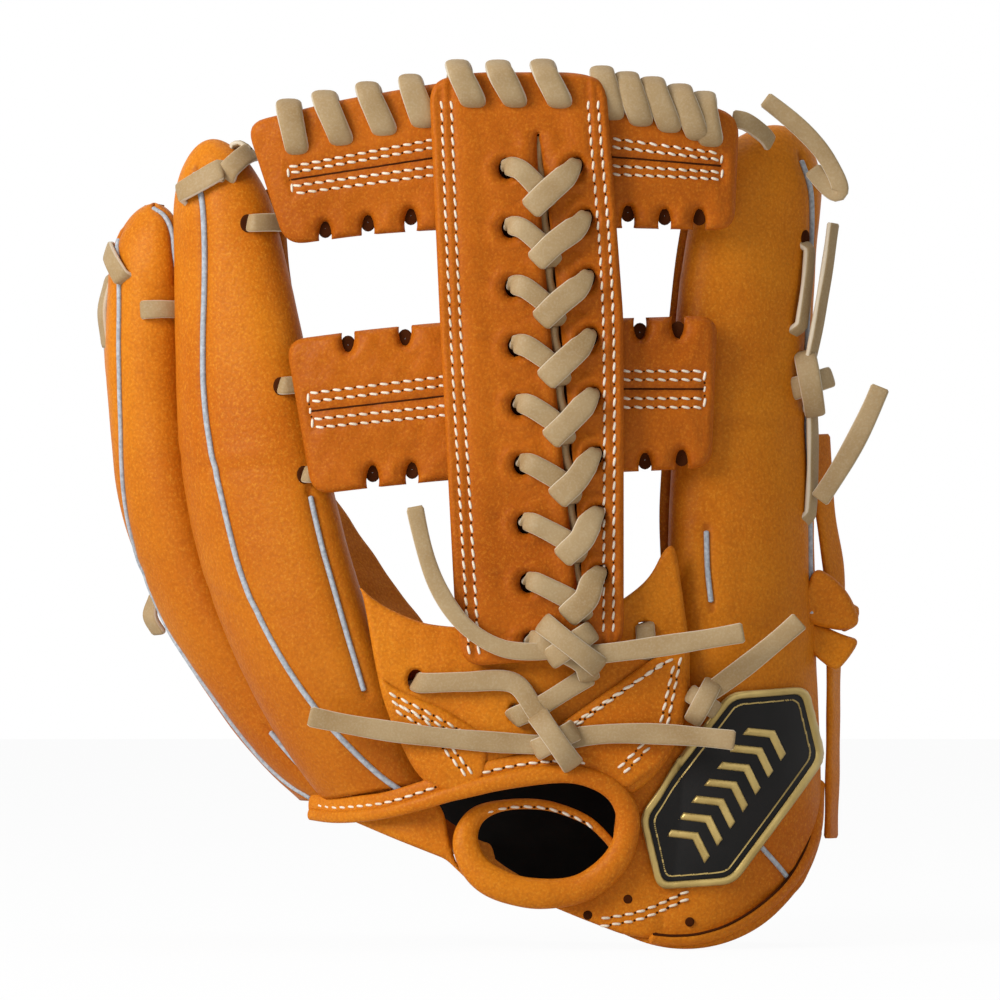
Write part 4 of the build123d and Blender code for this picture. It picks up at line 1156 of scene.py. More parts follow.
@dataclass
class Post:
    """The web's post: a folded hide with a slit down it, laced across, its rims sewn down in double rows."""

    panel: Panel = field(init=False)

    def __post_init__(self) -> None:
        """Lays out the hide with its slit and holes."""
        form = [(POST_LEFT - 4.7, WEB_TOP - 3), (POST_LEFT - 1.3, POST_TURN), (POST_LEFT + 3.5, 90),
                (POST_LEFT + 6, POST_FOOT - 8.5), (8, POST_FOOT - 5.5), (POST_RIGHT, POST_FOOT - 2),
                (POST_RIGHT, POST_TURN), (POST_RIGHT - 5.6, WEB_TOP - 3),
                (POST_RIGHT - 14, WEB_TOP), (POST_LEFT + 8, WEB_TOP)]
        height = np.linspace(241, 88, 40)
        slit = np.stack([slit_x(height), height], 1)
        width = 0.15 + 1.5 * np.sin(np.linspace(0, math.pi, 40)) ** 0.5
        slit_form = np.vstack([slit - np.c_[width, width * 0], (slit + np.c_[width, width * 0])[::-1]])
        holes = [oval(x, z, 2.5, 3.1, 12) for x, z in LEFT_HOLES]
        holes += [oval(x, z, 2.2, 3.2, -18) for x, z in RIGHT_HOLES]
        self.panel = Panel("post_hide", rounded(form, 7.0), lambda x, z: POST_BACK(z), POST_HIDE,
                           [slit_form, *holes], self.relief, cell=0.8, edge=1.7)

    def relief(self, x: Array, z: Array, inside: Array) -> tuple[Array, Array]:
        """Puckers round the lace holes, valleys under the stitch rows, a swell between, the slit's lips, and
        painted shade in the valleys, the holes, their folds and along the slit.
        """
        off = unevenness(x, z, 11, (0.35, 34.0), (0.16, 8.0))
        rim = np.minimum(x - (POST_LEFT - 1.3 - (z - POST_TURN) * 0.044),
                         POST_RIGHT - x - np.maximum(z - POST_TURN, 0) * 0.07)
        for row in POST_ROWS:
            off -= 0.5 * bump_at(rim, row, 0.9)
        off += 0.35 * bump_at(rim, 4.9, 0.9) + 0.5 * bump_at(rim, 11.0, 4.0)
        # painted shade along the stitch-row valleys
        painted_shade = sum(0.25 * bump_at(rim, row, 0.8) for row in POST_ROWS)
        for hx, hz in LEFT_HOLES + RIGHT_HOLES:
            gap = np.hypot(x - hx, z - hz)
            off += 0.65 * bump_at(gap, 5.6, 1.7) - 1.1 * bump_at(gap, 1.6, 2.0)
            side = 1.0 if hx < slit_x(hz) else -1.0
            fold = bump_at(z - hz + side * (x - hx) * 0.25, 0.0, 1.1) * bump_at(x, hx - side * 6, 5.5)
            lower = bump_at(z - hz - 7 - side * (x - hx) * 0.5, 0.0, 1.0) * bump_at(x, hx, 6.0)
            off -= 0.5 * fold + 0.3 * lower
            # painted shade in and round each hole and in its folds
            painted_shade = np.maximum(painted_shade, 0.35 * bump_at(gap, 2.0, 2.2) + 0.22 * fold + 0.14 * lower)
        lip = np.abs(x - slit_x(z)) * ((z > 92) & (z < 242)) + 99.0 * ((z <= 92) | (z >= 242))
        off += 0.5 * bump_at(lip, 4.5, 2.2) - 0.5 * bump_at(lip, 0.8, 1.4)
        # painted shade along the slit's lips
        painted_shade = np.maximum(painted_shade, 0.3 * bump_at(lip, 1.0, 1.6))
        return off, np.clip(painted_shade, 0, 0.6)

    def make(self, finishes: Finishes) -> None:
        """Builds the post, a dark sheet behind its slit that paints the shade in it, its stitch rows and the
        lace across its slit.
        """
        self.panel.make(Body.GLOVE, "web_hide", finishes.web, finishes.raw, ["web_post"])
        # a dark sheet behind the slit, in the hole brown: painted shade where the slit opens
        form = [(-23, 246), (14, 246), (19, 88), (17, 85), (-12, 85), (-16, 95)]
        behind = Panel("post_slit_shade_sheet", rounded(form, 4.0), lambda x, z: POST_BACK(z) + 1.3, 1.2, (),
                       lambda x, z, inside: (np.zeros_like(x), np.ones_like(x)), cell=2.0, edge=0.5)
        behind.make(Body.GLOVE, "web_hide", finishes.needle, finishes.raw)
        sewing = Stitching()
        for inset in POST_ROWS:
            left = [(POST_LEFT - 4.1 + inset, 252), (POST_LEFT - 1.3 + inset, POST_TURN),
                    (POST_LEFT + 4.6 + inset, 77)]
            right = [(POST_RIGHT - 4.9 - inset, 252), (POST_RIGHT - inset, POST_TURN),
                     (POST_RIGHT - inset, 84)]
            sewing.row(self.panel.on(left, 120), slant=-10)
            sewing.row(self.panel.on(right, 120), slant=10)
        sewing.make("post", finishes, Body.GLOVE, "web_hide")
        self.lace_up(finishes)

    def lace_up(self, finishes: Finishes) -> None:
        """Lays the crossed laces: each left strand dives under the right one at the slit."""
        pile = Pile()
        rng = np.random.default_rng(5)
        lace = Lace(6.6, 2.5, 18, softness=0.45)
        upper_width = 7.7
        share = np.linspace(0, 1, STRAND_POINTS)
        for i, (lx, lz) in enumerate(LEFT_HOLES):
            face = float(POST_BACK(lz)) - POST_HIDE
            sx = float(slit_x(lz - 8)) + rng.uniform(-0.4, 0.4)
            left = curve_through([(lx + 0.6, face + 3.0, lz + 0.8), (lx + 1.0, face - 0.9, lz + 0.8),
                                  (lx + 4.6, face - 3.1, lz - 0.6), (sx - 1.8, face - 2.4, lz - 6.0),
                                  (sx + 0.6, face - 0.4, lz - 10.0), (sx + 1.0, face + 1.8, lz - 11.4)],
                                 STRAND_POINTS)
            lace.lay(pile, left, seed=i,
                     width=lace.width * np.interp(share, (0, 0.2, 1), (0.75, 1, 1)))
            if i < len(RIGHT_HOLES):
                rx, rz = RIGHT_HOLES[i]
                right = curve_through([(rx - 0.1, face + 3.0, rz + 1.6), (rx - 0.4, face - 1.2, rz + 1.0),
                                       (rx - 2.8, face - 3.9, rz - 2.4), (sx + 1.6, face - 5.0, rz - 7.6),
                                       (sx - 2.6, face - 4.7, rz - 11.6),
                                       (sx - 4.4, face - 3.3, rz - 13.4)], STRAND_POINTS)
                lace.lay(pile, right, seed=40 + i,
                         width=upper_width * np.interp(share, (0, 0.15, 0.4, 1), (0.4, 0.6, 1, 1)))
        z = np.linspace(240, 92, 160)
        inner = np.stack([slit_x(z) + 0.7 * np.sin(z / 2.9), POST_BACK(z) - 2.2, z], 1)
        pile_tube(pile, inner, 1.5, 10)
        dress(pile.mesh("post_lacing"), finishes.lace, Body.GLOVE, ["post_lace"])


@dataclass
class Bar:
    """A web bar: a folded hide along a back face, its middle seam and its stitch rows."""

    name: str
    form: Sequence[Point2]
    back: Callable[[Array], Array]
    replaces: str
    rows: Sequence[tuple[Point2, Point2]]
    seams: Sequence[tuple[Point2, Point2]]
    notches: Sequence[tuple[float, float, float]]
    seed: int
    panel: Panel = field(init=False)

    def __post_init__(self) -> None:
        """Lays out the hide with its lace slots."""
        slots = [oval(x, z, 2.0, h) for x, z, h in self.notches]
        self.panel = Panel(f"{self.name}_hide", rounded(self.form, 6.5), lambda x, z: self.back(x), BAR_HIDE,
                           slots, self.relief, cell=0.95, edge=2.3)

    def relief(self, x: Array, z: Array, inside: Array) -> tuple[Array, Array]:
        """A padded swell between rims and rows, with valleys along the seam and the rows, and painted shade
        in the valleys and round the lace slots.
        """
        off = unevenness(x, z, self.seed, (0.45, 30.0), (0.18, 8.0))
        off += 1.0 * smooth(inside, 0, 9.0)
        painted_shade = np.zeros_like(x)
        flat = np.stack([x.ravel(), z.ravel()], 1)
        for line, depth, width in [(s, 1.0, 1.5) for s in self.seams] + [(r, 0.45, 0.9) for r in self.rows]:
            gap = line_distance(flat, np.asarray(line, float)).reshape(x.shape)
            off -= depth * bump_at(gap, 0.0, width)
            # painted shade along the seam and row valleys
            painted_shade = np.maximum(painted_shade, 0.4 * depth * bump_at(gap, 0.0, width * 0.8))
        for nx, nz, _ in self.notches:
            gap = np.hypot(x - nx, z - nz)
            off += 0.4 * bump_at(gap, 6.5, 2.0)
            # painted shade round each lace slot
            painted_shade = np.maximum(painted_shade, 0.25 * bump_at(gap, 3.4, 2.0))
        return off, painted_shade

    def make(self, finishes: Finishes) -> None:
        """Builds the bar and sews it."""
        self.panel.make(Body.GLOVE, "web_hide", finishes.web, finishes.raw, [self.replaces])
        sewing = Stitching(pitch=3.5, length=3.0)
        for start, end in self.rows:
            sewing.row(self.panel.on([start, end], 60), slant=12)
        sewing.make(self.name, finishes, Body.GLOVE, "web_hide")
        dark = Pile()
        for start, end in self.seams:
            pile_tube(dark, self.panel.on([start, end], 60, lift=-0.1), 0.4, 6)
        middle = np.mean([z for _, z in self.form])
        # a dark disc behind each lace slot paints the shade inside it
        for x, z, _ in self.notches:
            inward = 2.6 if z < middle else -2.6
            hole_shade_disc(dark, np.array([x, float(self.back(x)) - 2.2, z + inward]), TO_THE_FRONT, 2.4, 3.0)
        dress(dark.mesh(f"{self.name}_seams_and_slot_shade"), finishes.needle, Body.GLOVE)


def top_bar() -> Bar:
    """The bar across the top of the web."""
    return Bar(
        "top_bar", TOP_FORM, TOP_BAR_BACK, "web_top_bar",
        rows=[((-85.7, 230.9), (-39.0, 239.6)), ((-85.1, 229.1), (-39.0, 237.1)),
              ((-84.4, 224.9), (-39.0, 231.0)), ((-83.5, 222.6), (-39.0, 228.4)),
              ((16.0, 239.8), (50.0, 235.4)), ((16.0, 237.2), (50.4, 233.3)),
              ((16.0, 231.2), (50.4, 229.4)), ((16.0, 228.6), (50.4, 227.2)),
              ((-86.3, 231.6), (-83.9, 222.0)), ((50.9, 235.8), (51.2, 226.6))],
        seams=[((-84.6, 227.0), (-38.0, 234.0)), ((14.0, 234.2), (50.6, 231.4))],
        notches=[(-74, 209, 5), (-60.5, 211, 5), (-47, 213, 5), (21.4, 214, 5), (33, 213, 5), (44, 213, 5)],
        seed=21)


def lower_bar() -> Bar:
    """The bar across the middle of the web."""
    return Bar(
        "lower_bar", LOWER_FORM, LOWER_BAR_BACK, "web_lower_bar",
        rows=[((-79.1, 159.6), (-35.0, 165.0)), ((-78.4, 157.0), (-35.0, 162.2)),
              ((-77.8, 151.4), (-35.0, 155.8)), ((-77.2, 148.8), (-35.0, 152.8)),
              *[((19.0, z), (45.0, z)) for z in (166.6, 163.9, 158.0, 155.2)],
              ((-79.7, 160.2), (-77.7, 148.2)), ((45.6, 167.2), (45.6, 154.6))],
        seams=[((-78.4, 154.0), (-35.0, 158.9)), ((18.0, 161.0), (45.4, 161.0))],
        notches=[(-66.8, 177.5, 5), (-48.8, 179.5, 5), (25.2, 181.5, 5), (37.2, 182, 5), (-59, 132, 5),
                 (-46.6, 133, 5), (26.8, 136, 5), (38.4, 137, 5)], seed=31)


@dataclass
class WebBase:
    """The saddle-shaped hide under the web, with two doubled flaps sewn down in a V."""

    panel: Panel = field(init=False)

    def __post_init__(self) -> None:
        """Lays out the hide and its lace holes."""
        holes = [oval(-45.4, 69.3, 2.6, 3.4), oval(26.6, 85.4, 2.0, 2.4), oval(-14, 59, 1.8, 2.6)]
        self.panel = Panel("web_base_hide", rounded(BASE_FORM, 8.0), lambda x, z: BASE_BACK(x), BASE_HIDE,
                           holes, plain_relief(41, 0.7), cell=1.0, edge=1.3)

    def flap(self, name: str, form: Sequence[Point2], finishes: Finishes) -> Panel:
        """A second layer over the base, with raw pale edges."""
        flap = Panel(name, rounded(form, 4.0), lambda x, z: BASE_BACK(x) - BASE_HIDE - 0.1, 1.7, (),
                     plain_relief(43, 0.5), cell=1.0, edge=0.7)
        flap.make(Body.GLOVE, "web_hide", finishes.hide, finishes.raw)
        return flap

    def make(self, finishes: Finishes) -> None:
        """Builds the base, its flaps and its V of stitches."""
        self.panel.make(Body.GLOVE, "web_hide", finishes.hide, finishes.raw, ["web_base"])
        left = self.flap("base_finger_flap", [(-57.5, 71), (-52, 66.5), (-36, 60), (-22.5, 51), (-24.5, 36.5),
                                              (-35.5, 33.2), (-45.2, 41), (-54, 60)], finishes)
        right = self.flap("base_thumb_flap", [(40.2, 80.5), (33.5, 79), (0, 55.5), (-1.5, 51), (8, 42),
                                              (20, 34.2), (32, 43), (37.8, 54), (40.2, 63)], finishes)
        sewing = Stitching(pitch=3.7)
        for line in ([(-54.5, 65.5), (-40, 58.3), (-25.5, 50)],
                     [(-51.4, 61.5), (-39.4, 56.0), (-26.3, 48.1)],
                     [(-53.6, 63.0), (-40, 54.5), (-27.1, 39.4)],
                     [(-52.3, 60.0), (-41.6, 53.0), (-29.2, 38.8)]):
            sewing.row(left.on(line, 60))
        for line in ([(38.1, 77), (36, 66), (33.7, 54.5)], [(35.9, 74.4), (33.9, 65.6), (31.6, 55.2)],
                     [(36, 76.4), (18, 65), (3.0, 54.8)], [(33, 75.2), (16, 63), (1.5, 52.4)],
                     [(28.7, 48.8), (19.5, 39.4)], [(26.9, 50.0), (17.8, 41.0)]):
            sewing.row(right.on(line, 60))
        sewing.make("web_base", finishes, Body.GLOVE, "web_hide")


# --- lace over the rims, knots and free ends ----------------------------------------------------
@dataclass(frozen=True)
class Tail:
    """A free lace end: its route from where it leaves its knot, its width and the way its flat side looks."""

    name: str
    points: tuple[tuple[float, float, float], ...]
    body: Body = Body.GLOVE
    width: float = 6.4
    face: tuple[float, float, float] = (0.0, -1.0, 0.0)

    def make(self, finishes: Finishes) -> None:
        line = route(self.points)
        smooth_line = even_steps(line, 70)
        pile = Pile()
        LACE.lay(pile, smooth_line, np.array(self.face), width=self.width, seed=len(self.name))
        piece = pile.mesh(self.name)
        dress(piece, finishes.lace, self.body)


def level(y: float, *points: Point2) -> tuple[tuple[float, float, float], ...]:
    """Points in x and z, all at one y."""
    return tuple((x, y, z) for x, z in points)


POST_FACE, BASE_FACE = -75.5, -69.5
TAILS = (
    Tail("post_lace_tail", level(POST_FACE + 3.6, (2, 79), (-13, 77.5), (-25, 82), (-34.6, 91),
                                 (-42.5, 107), (-45.7, 124)), width=5.4),
    Tail("post_lace_side_tail", level(POST_FACE + 3.6, (6, 77), (31, 79.5), (57.6, 84.4))),
    Tail("base_lace_finger_tail", level(BASE_FACE + 4.1, (-6, 49), (-49, 51), (-79, 58))),
    Tail("base_lace_thumb_tail", level(BASE_FACE + 4.1, (0, 50), (14.5, 55), (55, 50.4))),
    Tail("side_lace_tail", level(-58.6, (45, 64), (60, 74), (75.6, 88))),
    Tail("thumb_knot_tail", ((79.6, -29.9, 170), (84, -29.9, 190), (87, -29.9, 214)), Body.THUMB, 5.8,
         face=(0.86, -0.5, 0.0)),
    Tail("thumb_outer_tail", ((82.5, -29.9, 126), (94, -29.9, 142), (102, -29.9, 162)), Body.THUMB),
    Tail("thumb_tip_tail", ((65, -39.9, 253), (80, -39.9, 242), (90, -39.9, 225), (87, -38.6, 222),
                            (80, -37.7, 231)), Body.THUMB, 5.6),
)


def whip(pile: Pile, x: float, low_x: float, top: float, middle: float, thick: float, seed: int,
         drop: float) -> None:
    """Adds one fat turn of lace over the web's top rim, its ends tucked into the hide in front and behind.

    Args:
        pile: what it joins.
        x: where it crosses the rim.
        low_x: where its front end goes in.
        top: the rim's height.
        middle: y of the middle of what it binds.
        thick: how thick that is.
        seed: chooses its small unevenness.
        drop: how far down the front it reaches.
    """
    h = thick / 2
    # y off the hide and z off the rim, from where the front end goes in up to the rim
    side = [(2.8, -drop + 0.4), (0.5, -drop), (-1.9, -drop * 0.8), (-3.0, -drop * 0.42), (-2.1, 0.4)]
    path = [(x - (low_x - x) * z / drop, middle - h + y, top + z) for y, z in side]
    path += [(x - 0.15 * (low_x - x), middle, top + 2.7)]
    path += [(x + 0.4 * (low_x - x) * z / drop, middle + h - y, top + z) for y, z in reversed(side)]
    line = curve_through(path, 64)
    outward = np.cross([1.0, 0, 0], tangents(line))
    Lace(8.0, 3.9, 20, softness=0.8, tucked=True).lay(pile, line, outward, seed=seed)


def skin_lace(pile: Pile, digit: Digit, points: Sequence[Point2], seed: int, width: float = 6.4,
              dive: float = 1.6, holes: Pile | None = None) -> None:
    """Adds a lace that lies on a digit along points in x and z, both ends tucked into the leather.

    Args:
        pile: what it joins.
        digit: what it lies on.
        points: its course from the front.
        seed: chooses its small unevenness.
        width: its width.
        dive: how deep its ends go in.
        holes: gets a dark disc of painted shade inside the hole at its first end, where that shows.
    """
    flat = curve_through(points, 36)
    angle = digit.front(flat[:, 0], flat[:, 1])
    t = np.linspace(0, 1, len(flat))
    buried = 1 - smooth(t, 0.0, 0.12) * (1 - smooth(t, 0.88, 1.0))
    lift = 1.9 + 0.5 * np.sin(np.pi * t) - (dive + 2.2) * buried
    line = digit.at(flat[:, 1], angle, lift)
    LACE.lay(pile, line, digit.normal(flat[:, 1], angle), width=width, seed=seed)
    if holes is not None:
        out = digit.normal(flat[:1, 1], angle[:1])[0]
        spot = digit.at(flat[:1, 1], angle[:1], 0.5)[0]
        hole_shade_disc(holes, spot, out, 2.3, 2.9)


@dataclass
class Lacing:
    """All the rawhide lace that ties the glove, apart from the post's crossings."""

    finishes: Finishes

    def tie(self, name: str, pile: Pile, replaces: Sequence[str] = (), body: Body = Body.GLOVE) -> None:
        """Turns gathered lace into its piece."""
        dress(pile.mesh(name), self.finishes.lace, body, replaces)

    def over_the_rim(self) -> None:
        """The whipped turns along the top of the web."""
        form = np.asarray(TOP_FORM[:7])
        pile = Pile()
        bar_turns = ((-85.2, -82.8, 11.6), (-73.6, -68.6, 11.6), (-60.0, -55.0, 11.2), (-46.6, -42.6, 11.0),
                     (13.6, 16.6, 11.4), (21.6, 25.8, 11.6), (29.8, 34.8, 11.6), (38.4, 43.6, 12.0),
                     (45.6, 47.6, 11.6))
        for i, (x, low_x, drop) in enumerate(bar_turns):
            top = float(np.interp(x, form[:, 0], form[:, 1])) - 0.4
            whip(pile, x, low_x, top, float(TOP_BAR_BACK(x)) - BAR_HIDE / 2, BAR_HIDE + 1.6, i, drop)
        for i, (x, low_x) in enumerate(((-31.6, -27.0), (-18.8, -13.8), (-4.8, 0.2))):
            middle = (float(TOP_BAR_BACK(x)) + float(POST_BACK(250)) - POST_HIDE) / 2
            whip(pile, x, low_x, WEB_TOP - 0.3, middle, POST_HIDE + BAR_HIDE + 1.9, 20 + i, 9.4)
        self.tie("rim_lacing", pile, ["top_lace"])

    def at_the_base(self) -> None:
        """The laces that cross the web's base, with their knots."""
        pile = Pile()
        runs = [
            [(-45.4, -58.0, 69), (-43, -63.0, 68.4), (-30, -65.4, 68.8), (-15, -66.0, 68.6), (-8, -67.0, 60),
             (-2.5, -68.2, 51.5)],
            [(9.5, -66.6, 71), (3, -66.8, 67), (-7, -66.6, 60.8), (-13.5, -65.2, 58), (-15, -61.0, 57)],
            [(26.6, -56, 86.6), (26.8, -60.6, 85.6), (27.2, -62.0, 79), (27.4, -58, 75.8)],
        ]
        for i, run in enumerate(runs):
            LACE.lay(pile, curve_through(run, 44), seed=60 + i)
        knot(pile, (-1.5, -66.6, 50.5), 19, 5.0, -55, 70, width=7.0, crossing=82)
        self.tie("base_lacing", pile, ["base_lace"])
        pile = Pile()
        knot(pile, (3.4, -71.2, 80.5), 22, 5.0, -38, 74, width=7.0, crossing=72)
        self.tie("post_lace_knot", pile)
        pile = Pile()
        knot(pile, (45, -57.2, 62.4), 13, 4.4, 62, 78, width=6.0, crossing=84)
        self.tie("side_lace_knot", pile, ["side_lace"])

    def on_the_fingers(self) -> None:
        """The short laces that show on the index and middle fingers."""
        pile, holes = Pile(), Pile()
        for i, run in enumerate(([(-120.5, 222), (-113, 226), (-106, 230.5)],
                                 [(-106, 228.5), (-101, 233.5), (-94.5, 238)],
                                 [(-99, 213.6), (-93, 213.9), (-86, 213.6)],
                                 [(-88.5, 162), (-85, 162.3), (-80, 162)],
                                 [(-81, 134), (-78, 134.3), (-74, 134)])):
            skin_lace(pile, INDEX, run, 80 + i, width=6.8 if i < 2 else 5.6, holes=holes if i > 1 else None)
        self.tie("index_lacing", pile, ["index_lace"])
        pile = Pile()
        LACE.lay(pile, curve_through([(-144.5, 12, 198), (-146.6, 9, 187), (-145.5, 10, 175)], 20),
                 np.array([-0.9, -0.3, 0.0]), seed=88)
        LACE.lay(pile, curve_through([(-129.5, 17, 96), (-131.5, 14, 89), (-128.5, 16, 83)], 20),
                 np.array([-0.7, -0.6, 0.0]), seed=89)
        skin_lace(pile, MIDDLE, [(-143, 206), (-140.5, 201), (-138, 196)], 90)
        skin_lace(pile, MIDDLE, [(-133.5, 186.5), (-127, 186.8), (-118, 186.5)], 91, width=5.8, holes=holes)
        self.tie("middle_lacing", pile, ["middle_lace"])
        dress(holes.mesh("finger_lace_holes"), self.finishes.needle, Body.GLOVE)

    def on_the_thumb(self) -> None:
        """The laces and the knot on the thumb's outer side."""
        pile, holes = Pile(), Pile()
        over_the_tip = curve_through([(54.5, -50.5, 246.4), (59, -49.6, 245.4), (64.5, -45.6, 241.6),
                                      (66.8, -41.5, 238.8)], 30)
        LACE.lay(pile, over_the_tip, np.array([0.2, -0.95, 0.25]), width=5.8, seed=94)
        skin_lace(pile, THUMB, [(77.9, 209), (76.4, 194), (74.5, 178)], 95, width=5.0, holes=holes)
        skin_lace(pile, THUMB, [(78.4, 158), (78.2, 137), (77.6, 117)], 96, width=6.2)
        knot(pile, (79.6, -27.8, 163), 19, 5.4, 100, 97, width=7.0, crossing=-82)
        self.tie("thumb_lacing", pile, ["thumb_lace"], Body.THUMB)
        dress(holes.mesh("thumb_lace_holes"), self.finishes.needle, Body.THUMB)

    def make(self) -> None:
        """Builds every lace."""
        self.over_the_rim()
        self.at_the_base()
        self.on_the_fingers()
        self.on_the_thumb()
        for tail in TAILS:
            tail.make(self.finishes)


# --- the palm, the felt and the lining -----------------------------------------------------------
PLACES = 9.0  # the last place along a row of the palm
FINGER_SIDE = 4.2  # the place where the finger side's skin meets the middle's
SADDLE = 86.0  # height of the palm's waist, under the web
PALM_CLEAR = 4.8  # from a digit's leather to the pocket face
PALM_HIDE = 3.0
LOW_PALM = {
    -24: ((-40, 24), (-28, 25), (-14, 22), (-4, 19), (6, 15), (14, 10), (21, 5)),
    20: ((-33, 27), (-27, 27.5), (-20, 25), (-11, 20), (0, 14), (13, 6), (27, -2)),
    58: ((-25, 51), (-52, 37), (-66, 20), (-60, 2), (-42, -9), (-20, -12), (15, -14)),
}


def palm_side(digit: Digit, z: float, along: float, clear: float) -> Array:
    """A point in x and y on the palm side of a digit, along its half width and clear of its skin."""
    x, y, a, b, lean = digit.values(min(z, digit.tip - digit.dome))
    lean = math.radians(lean)
    depth = b * math.sqrt(1 - along**2) + clear
    return np.array([x + math.cos(lean) * along * a + math.sin(lean) * depth,
                     y - math.sin(lean) * along * a + math.cos(lean) * depth])


def palm_row(z: float) -> Array:
    """The ten points of the pocket face at height z, from the little-finger rim round to the thumb's."""
    if z in LOW_PALM:
        fingers = list(LOW_PALM[int(z)])
    else:
        x, y, a, _, lean = LITTLE.values(min(z, LITTLE.tip - LITTLE.dome))
        lean = math.radians(lean)
        fingers = [(x - math.cos(lean) * (a + 8) + math.sin(lean) * 9,
                    y + math.sin(lean) * (a + 8) + math.cos(lean) * 9)]
        fingers += [palm_side(digit, z, 0.0, PALM_CLEAR) for digit in (LITTLE, RING, MIDDLE, INDEX)]
        fingers += [(-42, -42), (6, -50)]
    return np.array([*fingers, *[palm_side(THUMB, z, along, PALM_CLEAR) for along in (-0.3, 0.25, 0.8)]])


@dataclass
class Palm:
    """The pocket hide: a skin read from rows of points by place along the row (u, 0 to 9) and height."""

    levels: tuple[int, ...] = (-24, 20, 58, 94, 110, 126, 142, 157, 174, 190, 210, 232)
    table: Array = field(init=False)
    heights: Array = field(init=False)
    places: Array = field(init=False)

    def __post_init__(self) -> None:
        """Reads the rows densely along u, then evens them out over height."""
        rows = np.array([spline(palm_row(z), 20) for z in self.levels])
        self.heights = np.arange(-24.0, 233.0, 1.0)
        flat = rows.reshape(len(self.levels), -1)
        dense = np.array([np.interp(self.heights, self.levels, column) for column in flat.T]).T
        window = np.hanning(19)
        padded = np.pad(dense, ((9, 9), (0, 0)), mode="reflect", reflect_type="odd")
        dense = np.array([np.convolve(column, window / window.sum(), "valid") for column in padded.T]).T
        self.table = dense.reshape(len(self.heights), -1, 2)
        self.places = np.linspace(0, PLACES, self.table.shape[1])

    def at(self, u: Array, z: Array, off: Array | float = 0.0) -> Array:
        """Points of the pocket face; off moves them out of the pocket, towards the hand."""
        row = np.clip(z - self.heights[0], 0, len(self.heights) - 1.001)
        col = np.clip(u, 0, PLACES) / PLACES * (len(self.places) - 1.001)
        r, c = row.astype(int), col.astype(int)
        fr, fc = (row - r)[..., None], (col - c)[..., None]
        t = self.table
        low = t[r, c] * (1 - fc) + t[r, c + 1] * fc
        high = t[r + 1, c] * (1 - fc) + t[r + 1, c + 1] * fc
        points = np.concatenate([low * (1 - fr) + high * fr, z[..., None]], -1)
        if np.any(off):
            points = points + grid_normals(points) * np.asarray(off)[..., None]
        return points


